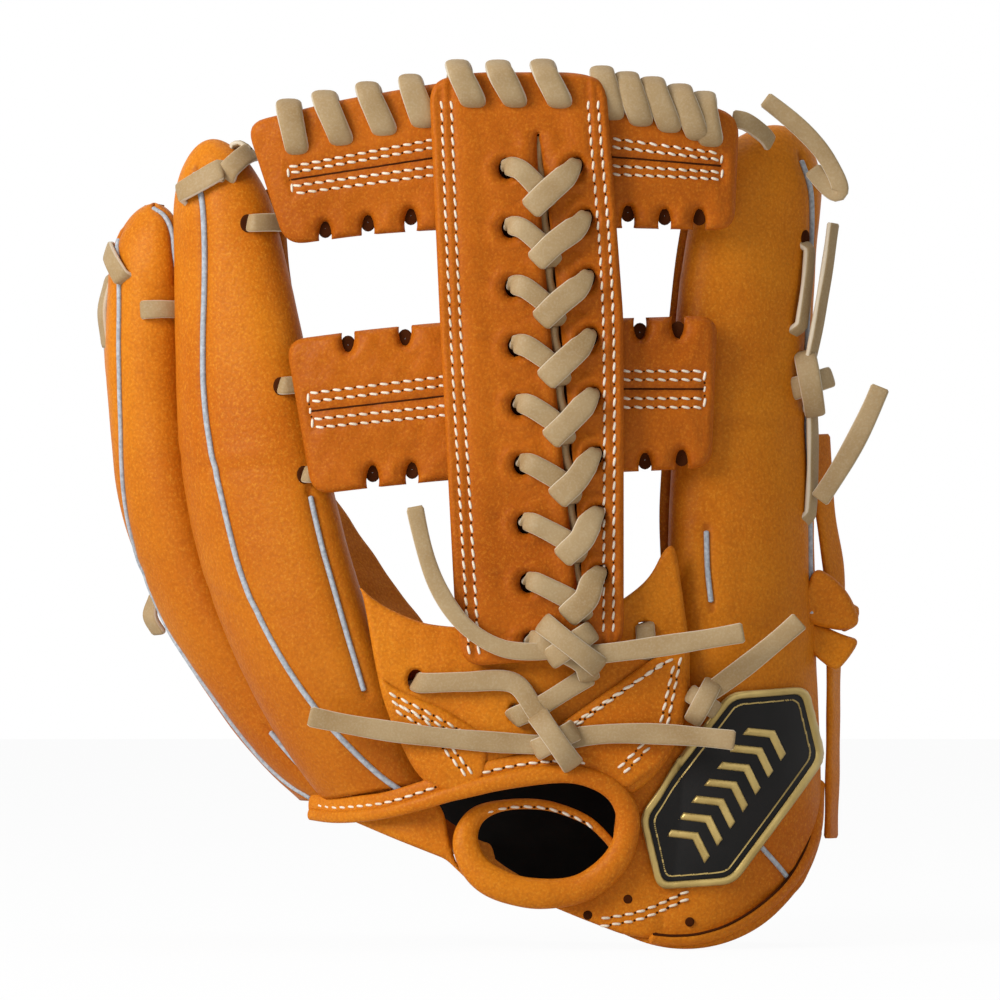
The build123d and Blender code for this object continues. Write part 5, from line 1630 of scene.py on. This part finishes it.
@dataclass
class Pocket:
    """The palm hide in the glove and on the thumb, with the felt and the black lining behind it."""

    palm: Palm = field(default_factory=Palm)

    def rim(self, u: Array) -> Array:
        """Height of the wrist rim under place u."""
        z = np.full_like(u, 5.0)
        for _ in range(8):
            z = np.clip(wrist_rim(self.palm.at(u, z)[..., 0]) + 0.6, -16, 60)
        return z

    def top(self, u: Array) -> Array:
        """Height of the palm's upper rim: down the finger tips' slope, then the saddle behind the web."""
        z = np.full_like(u, 200.0)
        for _ in range(8):
            y = self.palm.at(u, z)[..., 1]
            z = np.interp(y, (-60, -25, 62, 90), (240, 232, 168, 150))
        return z

    def relief(self, points: Array, u: Array, z: Array) -> tuple[Array, Array]:
        """Creases and softness of the pocket: slow waves, finger valleys and fold lines across the palm, with
        painted shade in the valleys and fold lines.
        """
        off = 1.1 * ripple(points, 52.0, 51) + 0.35 * ripple(points, 15.0, 52)
        painted_shade = np.zeros(u.shape)
        for place in (1.5, 2.5, 3.5):
            valley = bump_at(u, place, 0.14) * smooth(z, 60, 110)
            off -= 1.3 * valley
            # painted shade in the finger valleys
            painted_shade = np.maximum(painted_shade, 0.25 * valley)
        for height, slope in ((66, 4), (82, -3), (104, 5), (128, 3)):
            fold = bump_at(z, height + slope * np.sin(u * 1.7), 1.6) * bump_at(u, 4.0 + 0.2 * slope, 2.4)
            off -= 0.8 * fold
            # painted shade in the fold lines
            painted_shade = np.maximum(painted_shade, 0.28 * fold)
        return off, painted_shade

    def skin(self, pile: Pile, u: Array, low: Array, high: Array, rows: int) -> None:
        """Adds the pocket face between two heights over the places u."""
        t = np.linspace(0, 1, rows)[:, None]
        z = low + (high - low) * t
        u = np.broadcast_to(u, z.shape)
        off, painted_shade = self.relief(self.palm.at(u, z), u, z)
        pile.add_grid(self.palm.at(u, z, off)[::-1], painted_shade=painted_shade[::-1])

    def make(self, finishes: Finishes) -> None:
        """Builds the pocket face, the thumb's part of it and the layers behind."""
        pile = Pile()
        fingers = np.linspace(0, FINGER_SIDE, 130)[None, :]
        middle = np.linspace(FINGER_SIDE, PLACES, 130)[None, :]
        waist = np.full_like(fingers, SADDLE)
        self.skin(pile, fingers, self.rim(fingers), waist, 84)
        self.skin(pile, fingers, waist, self.top(fingers), 120)
        self.skin(pile, middle, self.rim(middle), np.full_like(middle, SADDLE - 6), 84)
        pocket = pile.mesh("pocket_hide", weld=0.03)
        dress(pocket, finishes.palm, Body.GLOVE, ["palm_hide"])
        thicken(pocket, PALM_HIDE)
        self.thumb_part(finishes)
        wool = self.layer("wool_pad", finishes.felt, "felt", "palm_felt", 4.6, 3.4)
        self.layer("lining", finishes.lining, "lining", "palm_lining", 8.4, 1.6)

    def thumb_part(self, finishes: Finishes) -> None:
        """The palm leather of the thumb, above its neck."""
        along = np.linspace(0.86, -0.86, 60)[None, :]
        z = np.linspace(80.6, 229.0, 130)[:, None]
        x, y, a, b, lean = np.moveaxis(THUMB.values(np.minimum(z, 221.0)), -1, 0)
        lean = np.radians(lean)
        depth = b * np.sqrt(1 - along**2) + 4.4
        points = np.stack(np.broadcast_arrays(
            x + np.cos(lean) * along * a + np.sin(lean) * depth,
            y - np.sin(lean) * along * a + np.cos(lean) * depth, z + 0 * along), -1)
        points = points + grid_normals(points) * (0.6 * ripple(points, 40.0, 57))[..., None]
        pile = Pile()
        pile.add_grid(points)
        piece = pile.mesh("thumb_pocket_hide")
        dress(piece, finishes.palm, Body.THUMB, ["thumb_palm"])
        thicken(piece, PALM_HIDE)

    def layer(self, name: str, material: Material, slot: str, replaces: str, off: float,
              thickness: float) -> Piece:
        """Makes a layer between the palm hide and the hand, this far off the pocket face."""
        u = np.linspace(2.3, 7.7, 80)[None, :]
        edge = 4 * ((u - 5.2) / 3.0) ** 2
        low = self.rim(u) + 3 + edge
        high = np.full_like(u, 72.0) - 2.2 * edge
        z = low + (high - low) * np.linspace(0, 1, 50)[:, None]
        points = self.palm.at(np.broadcast_to(u, z.shape), z, np.full(z.shape, off))
        pile = Pile()
        pile.add_grid(points[::-1])
        piece = pile.mesh(name)
        dress(piece, material, Body.GLOVE, [replaces])
        thicken(piece, thickness)
        return piece


# --- the wrist --------------------------------------------------------------------------------
WINDOW_ROLL = (
    (-79, -31, 26.2, 1.9), (-70, -42, 25.6, 1.9), (-56, -53.5, 27.2, 2.0), (-44, -59.5, 30.4, 2.2),
    (-32, -62.6, 34.2, 2.5), (-13.7, -64.6, 38.4, 2.9), (2.9, -64.8, 39.8, 3.0), (14.0, -63.4, 36.6, 3.1),
    (20.2, -61.4, 30.0, 3.4), (21.2, -59.8, 21.6, 3.8), (17.0, -58.8, 11.6, 4.3), (7.0, -58.4, 3.8, 4.6),
    (-6, -58.6, 1.9, 4.7), (-18, -58.2, 4.2, 4.8), (-26.2, -57.2, 9.6, 4.7), (-29.8, -55.8, 18.6, 4.1),
    (-26.4, -53.8, 26.2, 2.9), (-17.6, -52.2, 29.6, 1.8), (-4.6, -51.2, 29.6, 1.6), (7.6, -51.2, 25.4, 1.5),
    (14.6, -52, 19.5, 1.4), (19.4, -53.2, 12.8, 1.3))
HEEL_HEM = ((83.0, -17, 36), (81.6, -25.4, 20), (74.9, -34.4, 6.6), (65.6, -42.4, -2.6), (54.5, -48.6, -9.4),
            (44.1, -52.3, -12.6), (36, -53.6, -13.2), (29, -54.6, -12.6))
FLANGE_END, INNER_ROW = 0.40, (0.80, 0.95)  # shares of the hem's run
HEEL_HOLES = ((21.4, 0.0), (8.8, -5.0), (41.0, -7.2), (30.2, -12.0))


@dataclass
class Wrist:
    """The hem that rolls round the back's oval window, and the leather at the wrist."""

    finishes: Finishes

    def hem(self) -> None:
        """The hem: one rolled fold that runs along the back, down round the window and in over its strap."""
        course = curve_through(WINDOW_ROLL, 560)
        line, half = course[:, :3], course[:, 3]
        run = run_along(line)
        half = half * (1 + 0.02 * np.sin(run / 8.3) + 0.015 * np.sin(run / 3.1 + np.sin(run / 9.0)))
        pile = Pile()
        pile_tube(pile, line, half, around=28, flat=0.72, painted_shade=0.05 + 0.04 * np.sin(run / 11.0))
        dress(pile.mesh("window_hem"), self.finishes.hide, Body.GLOVE, ["back_roll", "strap_roll"])
        upper = run < FLANGE_END * run[-1]
        way = tangents(line)
        side = unit(np.cross(way, [0, 1.0, 0]))
        flat = line + side * (half[:, None] + 1.2) + np.array([0, 1.4, 0])
        pile = Pile()
        pile_tube(pile, flat[upper], 3.2, around=18, flat=0.34, painted_shade=0.04)
        dress(pile.mesh("window_flange"), self.finishes.hide, Body.GLOVE)
        sewing = Stitching()
        row = line + side * (half[:, None] + 1.1) + np.array([0, 0.25, 0])
        sewing.row(row[upper][6:-6], slant=8)
        inner = (run > INNER_ROW[0] * run[-1]) & (run < INNER_ROW[1] * run[-1])
        sewing.row((line - side * 0.9 + np.array([0, -1.1, 0]))[inner], slant=8)
        sewing.make("window_hem", self.finishes, Body.GLOVE, "binding")

    def heel(self) -> None:
        """The leather under the window, its punched holes with dark discs of painted shade inside, its double
        row, and the hem round the heel.
        """
        form = ((-7, -1.5), (5, 1), (13, 6), (16, 12), (18, 30), (24, 43), (34, 50), (44, 46), (47, 20),
                (46, -11), (33, -13), (20, -11.2), (6, -5.8), (-6, -0.8))
        panel = Panel("wrist_strap_hide", rounded(form, 3.0), lambda x, z: STRAP_BACK(x), 3.6, (),
                      plain_relief(61, 0.3), edge=1.2)
        panel.make(Body.GLOVE, "shell_hide", self.finishes.hide, self.finishes.raw, ["wrist_strap"])

        def skin(points: Sequence[Point2], count: int) -> Array:
            """Points on whichever of the strap and the thumb's heel lies in front."""
            x, z = curve_through(points, count).T
            thumb = THUMB.at(z, THUMB.front(x, z), 0.3)[:, 1]
            return np.stack([x, np.minimum(panel.front(x, z), np.where(x > 33, thumb, 0.0)), z], 1)

        sewing = Stitching()
        for shift in (0.0, 2.4):
            sewing.row(skin([(12.6, -8.6 + shift), (26, -6.0 + shift), (41, 0.4 + shift)], 70))
        sewing.make("heel", self.finishes, Body.GLOVE, "shell_hide")
        dark = Pile()
        # dark discs paint the shade inside the punched holes
        for x, z in HEEL_HOLES:
            spot = skin([(x, z), (x + 0.2, z), (x + 0.4, z)], 3)[0]
            hole_shade_disc(dark, spot + np.array([0, -0.05, 0]), np.array([0.05, -1.0, -0.1]), 1.5, 1.5)
        line = curve_through(HEEL_HEM, 260)
        way = tangents(line)
        out = unit(np.stack([line[:, 0] - 44, np.full(len(line), -40.0), line[:, 2] - 30], 1))
        pile = Pile()
        pile_tube(pile, line, 2.3, around=20, flat=0.5, face=out, painted_shade=0.04)
        dress(pile.mesh("heel_hem"), self.finishes.hide, Body.GLOVE)
        inward = unit(np.cross(out, way))
        pile_tube(dark, line - inward * 2.5 - out * 0.15, 0.42, 6)
        dress(dark.mesh("heel_holes"), self.finishes.needle, Body.GLOVE)

    def make(self) -> None:
        """Builds the wrist end."""
        self.hem()
        self.heel()
        form = ((-66, 40), (-52, 38), (-40, 33), (-36.5, 27), (-35.2, 20), (-33, 12), (-27, 4), (-36, 12.6),
                (-52, 18.8), (-66, 24.5))
        panel = Panel("finger_heel_hide", rounded(form, 2.0), lambda x, z: STRAP_BACK(x), 3.0, (),
                      plain_relief(62, 0.4), edge=1.0)
        panel.make(Body.GLOVE, "shell_hide", self.finishes.hide, self.finishes.raw, ["finger_heel"])


# --- the badge and the thumb's pull strap --------------------------------------------------------
@dataclass
class Badge:
    """A moulded plaque on the thumb heel: black field, gilt rim, a row of gilt chevrons."""

    middle: Point2 = (54.0, 35.0)
    length: float = 78.0
    width: float = 36.0
    point: float = 15.0
    turn: float = math.radians(54)
    chevron_pitch: float = 6.6
    chevron_half: float = 7.2

    def corners(self, grow: float = 0.0) -> Array:
        """The long hexagon's corners in the plaque's own u and v, moved out by grow."""
        h, w = self.length / 2 + grow * 1.2, self.width / 2 + grow
        s = self.length / 2 - self.point + grow * 0.45
        return np.array([(-h, 0), (-s, -w), (s, -w), (h, 0), (s, w), (-s, w)])

    def place(self, uv: Array, lift: Array | float) -> Array:
        """Points on the heel, lifted off its skin, from u and v."""
        c, s = math.cos(self.turn), math.sin(self.turn)
        x = self.middle[0] + uv[..., 0] * c - uv[..., 1] * s
        z = self.middle[1] + uv[..., 0] * s + uv[..., 1] * c
        points = THUMB.at(z, THUMB.front(x, z), lift)
        over = 1.0 - smooth(x, 31.0, 38.0)
        points[..., 0] += over * (x - points[..., 0])
        strap = STRAP_BACK(x) - 4.0 - lift + 60.0 * smooth(x, 38.0, 50.0)
        points[..., 1] = np.minimum(points[..., 1], strap)
        return points

    def plate(self, pile: Pile, outline: Array, low: float, high: float, cell: float = 0.9,
              hole: Array | None = None) -> None:
        """Adds a flat-topped plate that follows the heel, cut to an outline in u and v, with any hole."""
        holes = () if hole is None else (hole,)
        panel = Panel("plate", outline, lambda u, v: np.zeros_like(u), high - low, holes,
                      flat_relief, cell=cell, edge=0.5)
        top, sides = Pile(), Pile()
        panel.fill(top, sides)
        verts = np.vstack(top.verts)
        flat = verts[:, [0, 2]]
        lift = low - verts[:, 1]
        pile.add(self.place(flat, lift), np.vstack([*top.quads, *sides.quads]))

    def make(self, finishes: Finishes) -> None:
        """Builds the plaque."""
        pile = Pile()
        self.plate(pile, rounded(self.corners(-1.0), 3.0), 0.2, 1.5)
        dress(pile.mesh("badge_field"), finishes.field, Body.GLOVE, ["heel_patch"])
        pile = Pile()
        self.plate(pile, rounded(self.corners(0.4), 4.0), 0.3, 2.3, 0.6, rounded(self.corners(-2.0), 3.0))
        inner = rounded(self.corners(-3.4), 2.6)
        self.plate(pile, inner, 0.9, 1.8, 0.45, rounded(self.corners(-4.2), 2.4))
        for i in range(-3, 4):
            u, v = i * self.chevron_pitch, self.chevron_half
            chevron = [(u - 4.2, -v), (u - 1.4, -v), (u + 2.6, 0), (u - 1.4, v), (u - 4.2, v), (u - 0.2, 0)]
            self.plate(pile, np.array(chevron), 0.9, 2.0, 0.55)
        dress(pile.mesh("badge_gilding"), finishes.gilt, Body.GLOVE)


@dataclass
class PullStrap:
    """The leather strap that hangs down the thumb's outer side, tied once."""

    wide: float = 10.0
    thick: float = 2.4

    def strip(self, pile: Pile, points: Sequence[Sequence[float]], count: int, seed: int,
              turn: float) -> None:
        """Adds a length of the strap, its flat turned this many degrees from sideways towards the web."""
        line = curve_through(points, count)
        strap = Lace(self.wide, self.thick, 22)
        face = np.array([math.cos(math.radians(turn)), -math.sin(math.radians(turn)), 0.0])
        strap.lay(pile, line, face, seed=seed)

    def fold(self, name: str, form: Sequence[Point2], front: float, slope: Point2,
             finishes: Finishes) -> None:
        """One face of the knot: the strap folded flat over itself, leaning by slope along x and z."""
        thick = 3.6
        middle = np.mean(form, axis=0)

        def back(x: Array, z: Array) -> Array:
            """y of the fold's back face."""
            return front + thick + slope[0] * (x - middle[0]) + slope[1] * (z - middle[1])

        panel = Panel(name, rounded(form, 3.5), back, thick, (), plain_relief(71 + len(name), 0.5),
                      cell=0.8, edge=1.7)
        panel.make(Body.THUMB, "shell_hide", finishes.hide, finishes.raw)

    def make(self, finishes: Finishes) -> None:
        """Builds the strap, its knot and its tail."""
        pile = Pile()
        self.strip(pile, [(83.2, -12.6, 147), (84.6, -12.8, 125), (87.6, -13.5, 104), (88.2, -14, 90)],
                   60, 101, 36)
        pile_tube(pile, curve_through([(79, -15, 93), (86, -18, 92), (93, -14, 88)], 30), 4.6, 18, 0.7)
        dress(pile.mesh("pull_strap_leather"), finishes.hide, Body.THUMB, ["pull_strap"])
        self.fold("pull_strap_upper_fold",
                  ((81.5, 105), (88.6, 100.5), (93, 95), (96.2, 87), (92, 84), (83, 85.5), (76, 88.5),
                   (77, 95)),
                  -24, (0.35, -0.28), finishes)
        self.fold("pull_strap_lower_fold",
                  ((76, 88.6), (84, 86), (90.5, 83), (96, 81.5), (92.4, 75.8), (88, 71), (80.5, 77),
                   (76.4, 83.5)),
                  -22.5, (0.2, 0.34), finishes)
        pile = Pile()
        self.strip(pile, [(87.8, -13, 82), (87.6, -12.4, 69), (87.4, -12, 45), (86.8, -12, 18)], 70, 106, 20)
        tail = pile.mesh("pull_strap_tail")
        settle(tail, finishes.hide, ["pull_tail"])
        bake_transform(tail)


# --- the picture ------------------------------------------------------------------------------
@dataclass(frozen=True)
class Studio:
    """A plain pale table under soft light, seen straight on from far off."""

    target: tuple[float, float, float] = (-18.9, -60.0, 126.0)
    distance: float = 3440.0
    field_width: float = 315.0
    sensor: float = 36.0
    aim: tuple[float, float, float] = (-0.02, -0.02, 0.12)
    table_radius: float = 3.0
    table_sides: int = 96

    def camera(self) -> None:
        """Sets the camera: far off and level, so the web fills the picture as in a catalogue."""
        data = bpy.data.cameras.new("catalogue_view")
        data.sensor_width = self.sensor
        data.lens = self.sensor * self.distance / self.field_width
        data.clip_start, data.clip_end = 0.05, 50.0
        camera = bpy.data.objects.new("catalogue_view", data)
        bpy.context.scene.collection.objects.link(camera)
        x, y, z = self.target
        camera.location = (x * MM, (y - self.distance) * MM, z * MM)
        camera.rotation_euler = (math.radians(90), 0.0, 0.0)
        bpy.context.scene.camera = camera

    def lamp(self, name: str, place: tuple[float, float, float], size: float, power: float) -> None:
        """Adds a soft square lamp that looks at the glove; place and size are metres."""
        data = bpy.data.lights.new(name, "AREA")
        data.size = size
        data.energy = power
        lamp = bpy.data.objects.new(name, data)
        bpy.context.scene.collection.objects.link(lamp)
        lamp.location = place
        lamp.rotation_euler = (Vector(self.aim) - Vector(place)).to_track_quat("-Z", "Y").to_euler()
        lamp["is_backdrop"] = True

    def floor(self, height: float) -> None:
        """A pale round table, white to the camera's own rays apart from the shadow it holds."""
        turn = np.linspace(0, 2 * math.pi, self.table_sides, endpoint=False)
        verts = np.stack([self.table_radius * np.cos(turn), self.table_radius * np.sin(turn),
                          np.full(self.table_sides, height)], 1)
        data = bpy.data.meshes.new("table_top")
        data.from_pydata(verts.tolist(), [], [list(range(self.table_sides))])
        table = bpy.data.objects.new("table_top", data)
        bpy.context.scene.collection.objects.link(table)
        material, tree, out = new_material("pale_matt_table")
        shader = add_node(tree, "ShaderNodeBsdfPrincipled", None,
                          {"Base Color": linear("#F4F4F2"), "Roughness": 0.9})
        white = add_node(tree, "ShaderNodeEmission", None, {"Color": (1.0, 1.0, 1.0, 1.0), "Strength": 1.0})
        seen = add_node(tree, "ShaderNodeLightPath").outputs["Is Camera Ray"]
        share = add_node(tree, "ShaderNodeMath", {"operation": "MULTIPLY"}, {0: seen, 1: 0.95})
        mix = add_node(tree, "ShaderNodeMixShader", None,
                       {0: share.outputs[0], 1: shader.outputs[0], 2: white.outputs[0]})
        tree.links.new(mix.outputs[0], out.inputs[0])
        data.materials.append(material)
        table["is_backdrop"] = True

    def world(self) -> None:
        """White behind the glove for camera, mirror and glass rays; a softer grey-white lights it."""
        world = bpy.data.worlds.new("studio")
        world.use_nodes = True
        tree = world.node_tree
        tree.nodes.clear()
        rays = add_node(tree, "ShaderNodeLightPath")
        seen = add_node(tree, "ShaderNodeMath", {"operation": "MAXIMUM"},
                        {0: rays.outputs["Is Camera Ray"], 1: rays.outputs["Is Transmission Ray"]})
        seen = add_node(tree, "ShaderNodeMath", {"operation": "MAXIMUM"},
                        {0: seen.outputs[0], 1: rays.outputs["Is Glossy Ray"]})
        lit = add_node(tree, "ShaderNodeBackground", None, {"Color": linear("#E9EDF2"), "Strength": 0.26})
        white = add_node(tree, "ShaderNodeBackground", None, {"Color": (1.0, 1.0, 1.0, 1.0), "Strength": 1.0})
        mix = add_node(tree, "ShaderNodeMixShader", None,
                       {0: seen.outputs[0], 1: lit.outputs[0], 2: white.outputs[0]})
        out = add_node(tree, "ShaderNodeOutputWorld")
        tree.links.new(mix.outputs[0], out.inputs[0])
        bpy.context.scene.world = world

    def make(self, floor_height: float) -> None:
        """Sets up the whole picture."""
        scene = bpy.context.scene
        scene.view_settings.view_transform = "Standard"
        self.camera()
        self.world()
        self.lamp("key_softbox", (-1.35, -1.15, 0.95), 1.0, 36.0)
        self.lamp("fill_softbox", (1.2, -1.5, 0.6), 1.3, 3.0)
        self.lamp("top_softbox", (0.0, 0.1, 1.7), 1.0, 7.0)
        self.floor(floor_height)


# --- the glove --------------------------------------------------------------------------------
PALM_TURN = (100, 150)  # degrees from the crown over which a stall's end climbs to the palm side
FLOOR_GAP = 0.0002  # metres from the glove's lowest point down to the table


@dataclass
class Glove:
    """The whole glove, piece by piece."""

    finishes: Finishes

    def finger_low(self, digit: Digit, line: Sequence[Point2], palm: float) -> Callable[[Array], Array]:
        """Where a finger's leather ends below: the back line in front, much higher on the palm side."""
        edge = np.asarray(line, float)

        def low(angle: Array) -> Array:
            """The lower end's height at these angles, found in a few rounds."""
            z = np.full_like(angle, 40.0)
            for _ in range(6):
                z = np.interp(digit.at(z, angle)[..., 0], edge[:, 0], edge[:, 1])
            away = np.minimum(np.abs(angle), 360 - np.abs(angle))
            return z + (palm - z) * smooth(away, *PALM_TURN)
        return low

    def wrist_low(self, digit: Digit, palm: float | None = None) -> Callable[[Array], Array]:
        """Where a stall that reaches the wrist ends: at the wrist rim, or higher on the palm side."""
        def low(angle: Array) -> Array:
            """The lower end's height at these angles, found in a few rounds."""
            z = np.full_like(angle, 20.0)
            for _ in range(10):
                z = 0.5 * z + 0.5 * np.clip(wrist_rim(digit.at(z, angle)[..., 0]), -15.8, 60)
            if palm is None:
                return z
            return z + (palm - z) * smooth(np.abs(angle), *PALM_TURN)
        return low

    def digits(self) -> None:
        """The five stalls with their welts."""
        back = [(-300, 27), (-79, 30), (-33, 39), (0, 43), (60, 43)]
        Stall(INDEX, Body.GLOVE, ("index_stall",), (
            Seam("index_welt_cord", as_seen(INDEX, (
                (-116, 230), (-113.7, 221), (-112.8, 203), (-113.1, 173), (-112.1, 153), (-107.1, 126),
                (-100.2, 100), (-87.9, 76), (-78.1, 61.7), (-69.9, 51.7), (-58, 40), (-50, 34))),
                 replaces=("index_welt",)),
            Seam("index_web_welt_cord", ((127, -62), (112, -60), (95, -58), (78, -54), (66, -50)), 0.85)),
            self.finger_low(INDEX, back, 72), 3, crease_heights=(92, 138)).make(self.finishes)
        Stall(MIDDLE, Body.GLOVE, ("middle_stall",), (
            Seam("middle_welt_cord", as_seen(MIDDLE, (
                (-140.5, 209), (-140.4, 197), (-140.6, 163), (-139.0, 126), (-129.6, 93), (-120.4, 76),
                (-111.6, 63), (-91.5, 39), (-80, 31))), 0.8, ("middle_welt",)),
            Seam("middle_inner_welt_cord", as_seen(MIDDLE, ((-92, 52), (-79, 38), (-68, 31))), 0.85),
            Seam("middle_tip_welt_cord", as_seen(MIDDLE, (
                (-129.5, 218.6), (-126.3, 216.5), (-123.8, 212.0), (-122.6, 205), (-121.6, 197))), 0.85)),
            self.finger_low(MIDDLE, back, 72), 4, crease_heights=(104,)).make(self.finishes)
        Stall(RING, Body.GLOVE, ("ring_stall",), (
            Seam("ring_welt_cord",
                 ((193, -25), (175, 8), (150, 16), (120, 18), (90, 18), (60, 12), (40, 4)), 0.85),),
            self.wrist_low(RING, 70), 5, crease_heights=(110,)).make(self.finishes)
        Stall(LITTLE, Body.GLOVE, ("little_stall",), (
            Seam("little_welt_cord", ((172, -20), (155, 8), (130, 14), (100, 14), (70, 10), (45, 4)), 0.85),),
            self.wrist_low(LITTLE, 70), 6, crease_heights=(98,)).make(self.finishes)
        Stall(THUMB, Body.THUMB, ("thumb_stall", "thumb_heel"), (
            Seam("thumb_welt_cord", ((234, -20), (215, -38), (190, -42), (160, -42), (125, -44), (90, -46)),
                 replaces=("thumb_welt",)),
            Seam("thumb_web_welt_cord", ((116, 56), (104, 55), (94, 52)), 0.85),
            Seam("heel_upper_welt_cord",
                 as_seen(THUMB, ((33.5, 49), (36.5, 46), (39.4, 42.5), (43, 38))), 0.85),
            Seam("heel_lower_welt_cord",
                 as_seen(THUMB, ((58, 23), (63, 17.3), (70.9, 8.5), (74, 4.5))), 0.85)),
            self.wrist_low(THUMB), 7, columns=170, rows=230,
            # less painted shade low on the thumb
            crease_heights=(86, 150), palm_shade=0.1).make(self.finishes, (68, 106))

    def make(self) -> None:
        """Builds everything."""
        self.digits()
        Pocket().make(self.finishes)
        Wrist(self.finishes).make()
        Post().make(self.finishes)
        top_bar().make(self.finishes)
        lower_bar().make(self.finishes)
        WebBase().make(self.finishes)
        Badge().make(self.finishes)
        PullStrap().make(self.finishes)
        Lacing(self.finishes).make()


def main() -> None:
    """Loads the frame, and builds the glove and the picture."""
    logging.basicConfig(level=logging.INFO, format="%(name)s: %(message)s")
    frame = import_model()
    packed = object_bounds()
    LOG.info("%d nodes in the frame", len(frame["nodes"]))
    Glove(Finishes.make()).make()
    Studio().make(packed[0][2] - FLOOR_GAP)


if __name__ == "__main__":
    main()
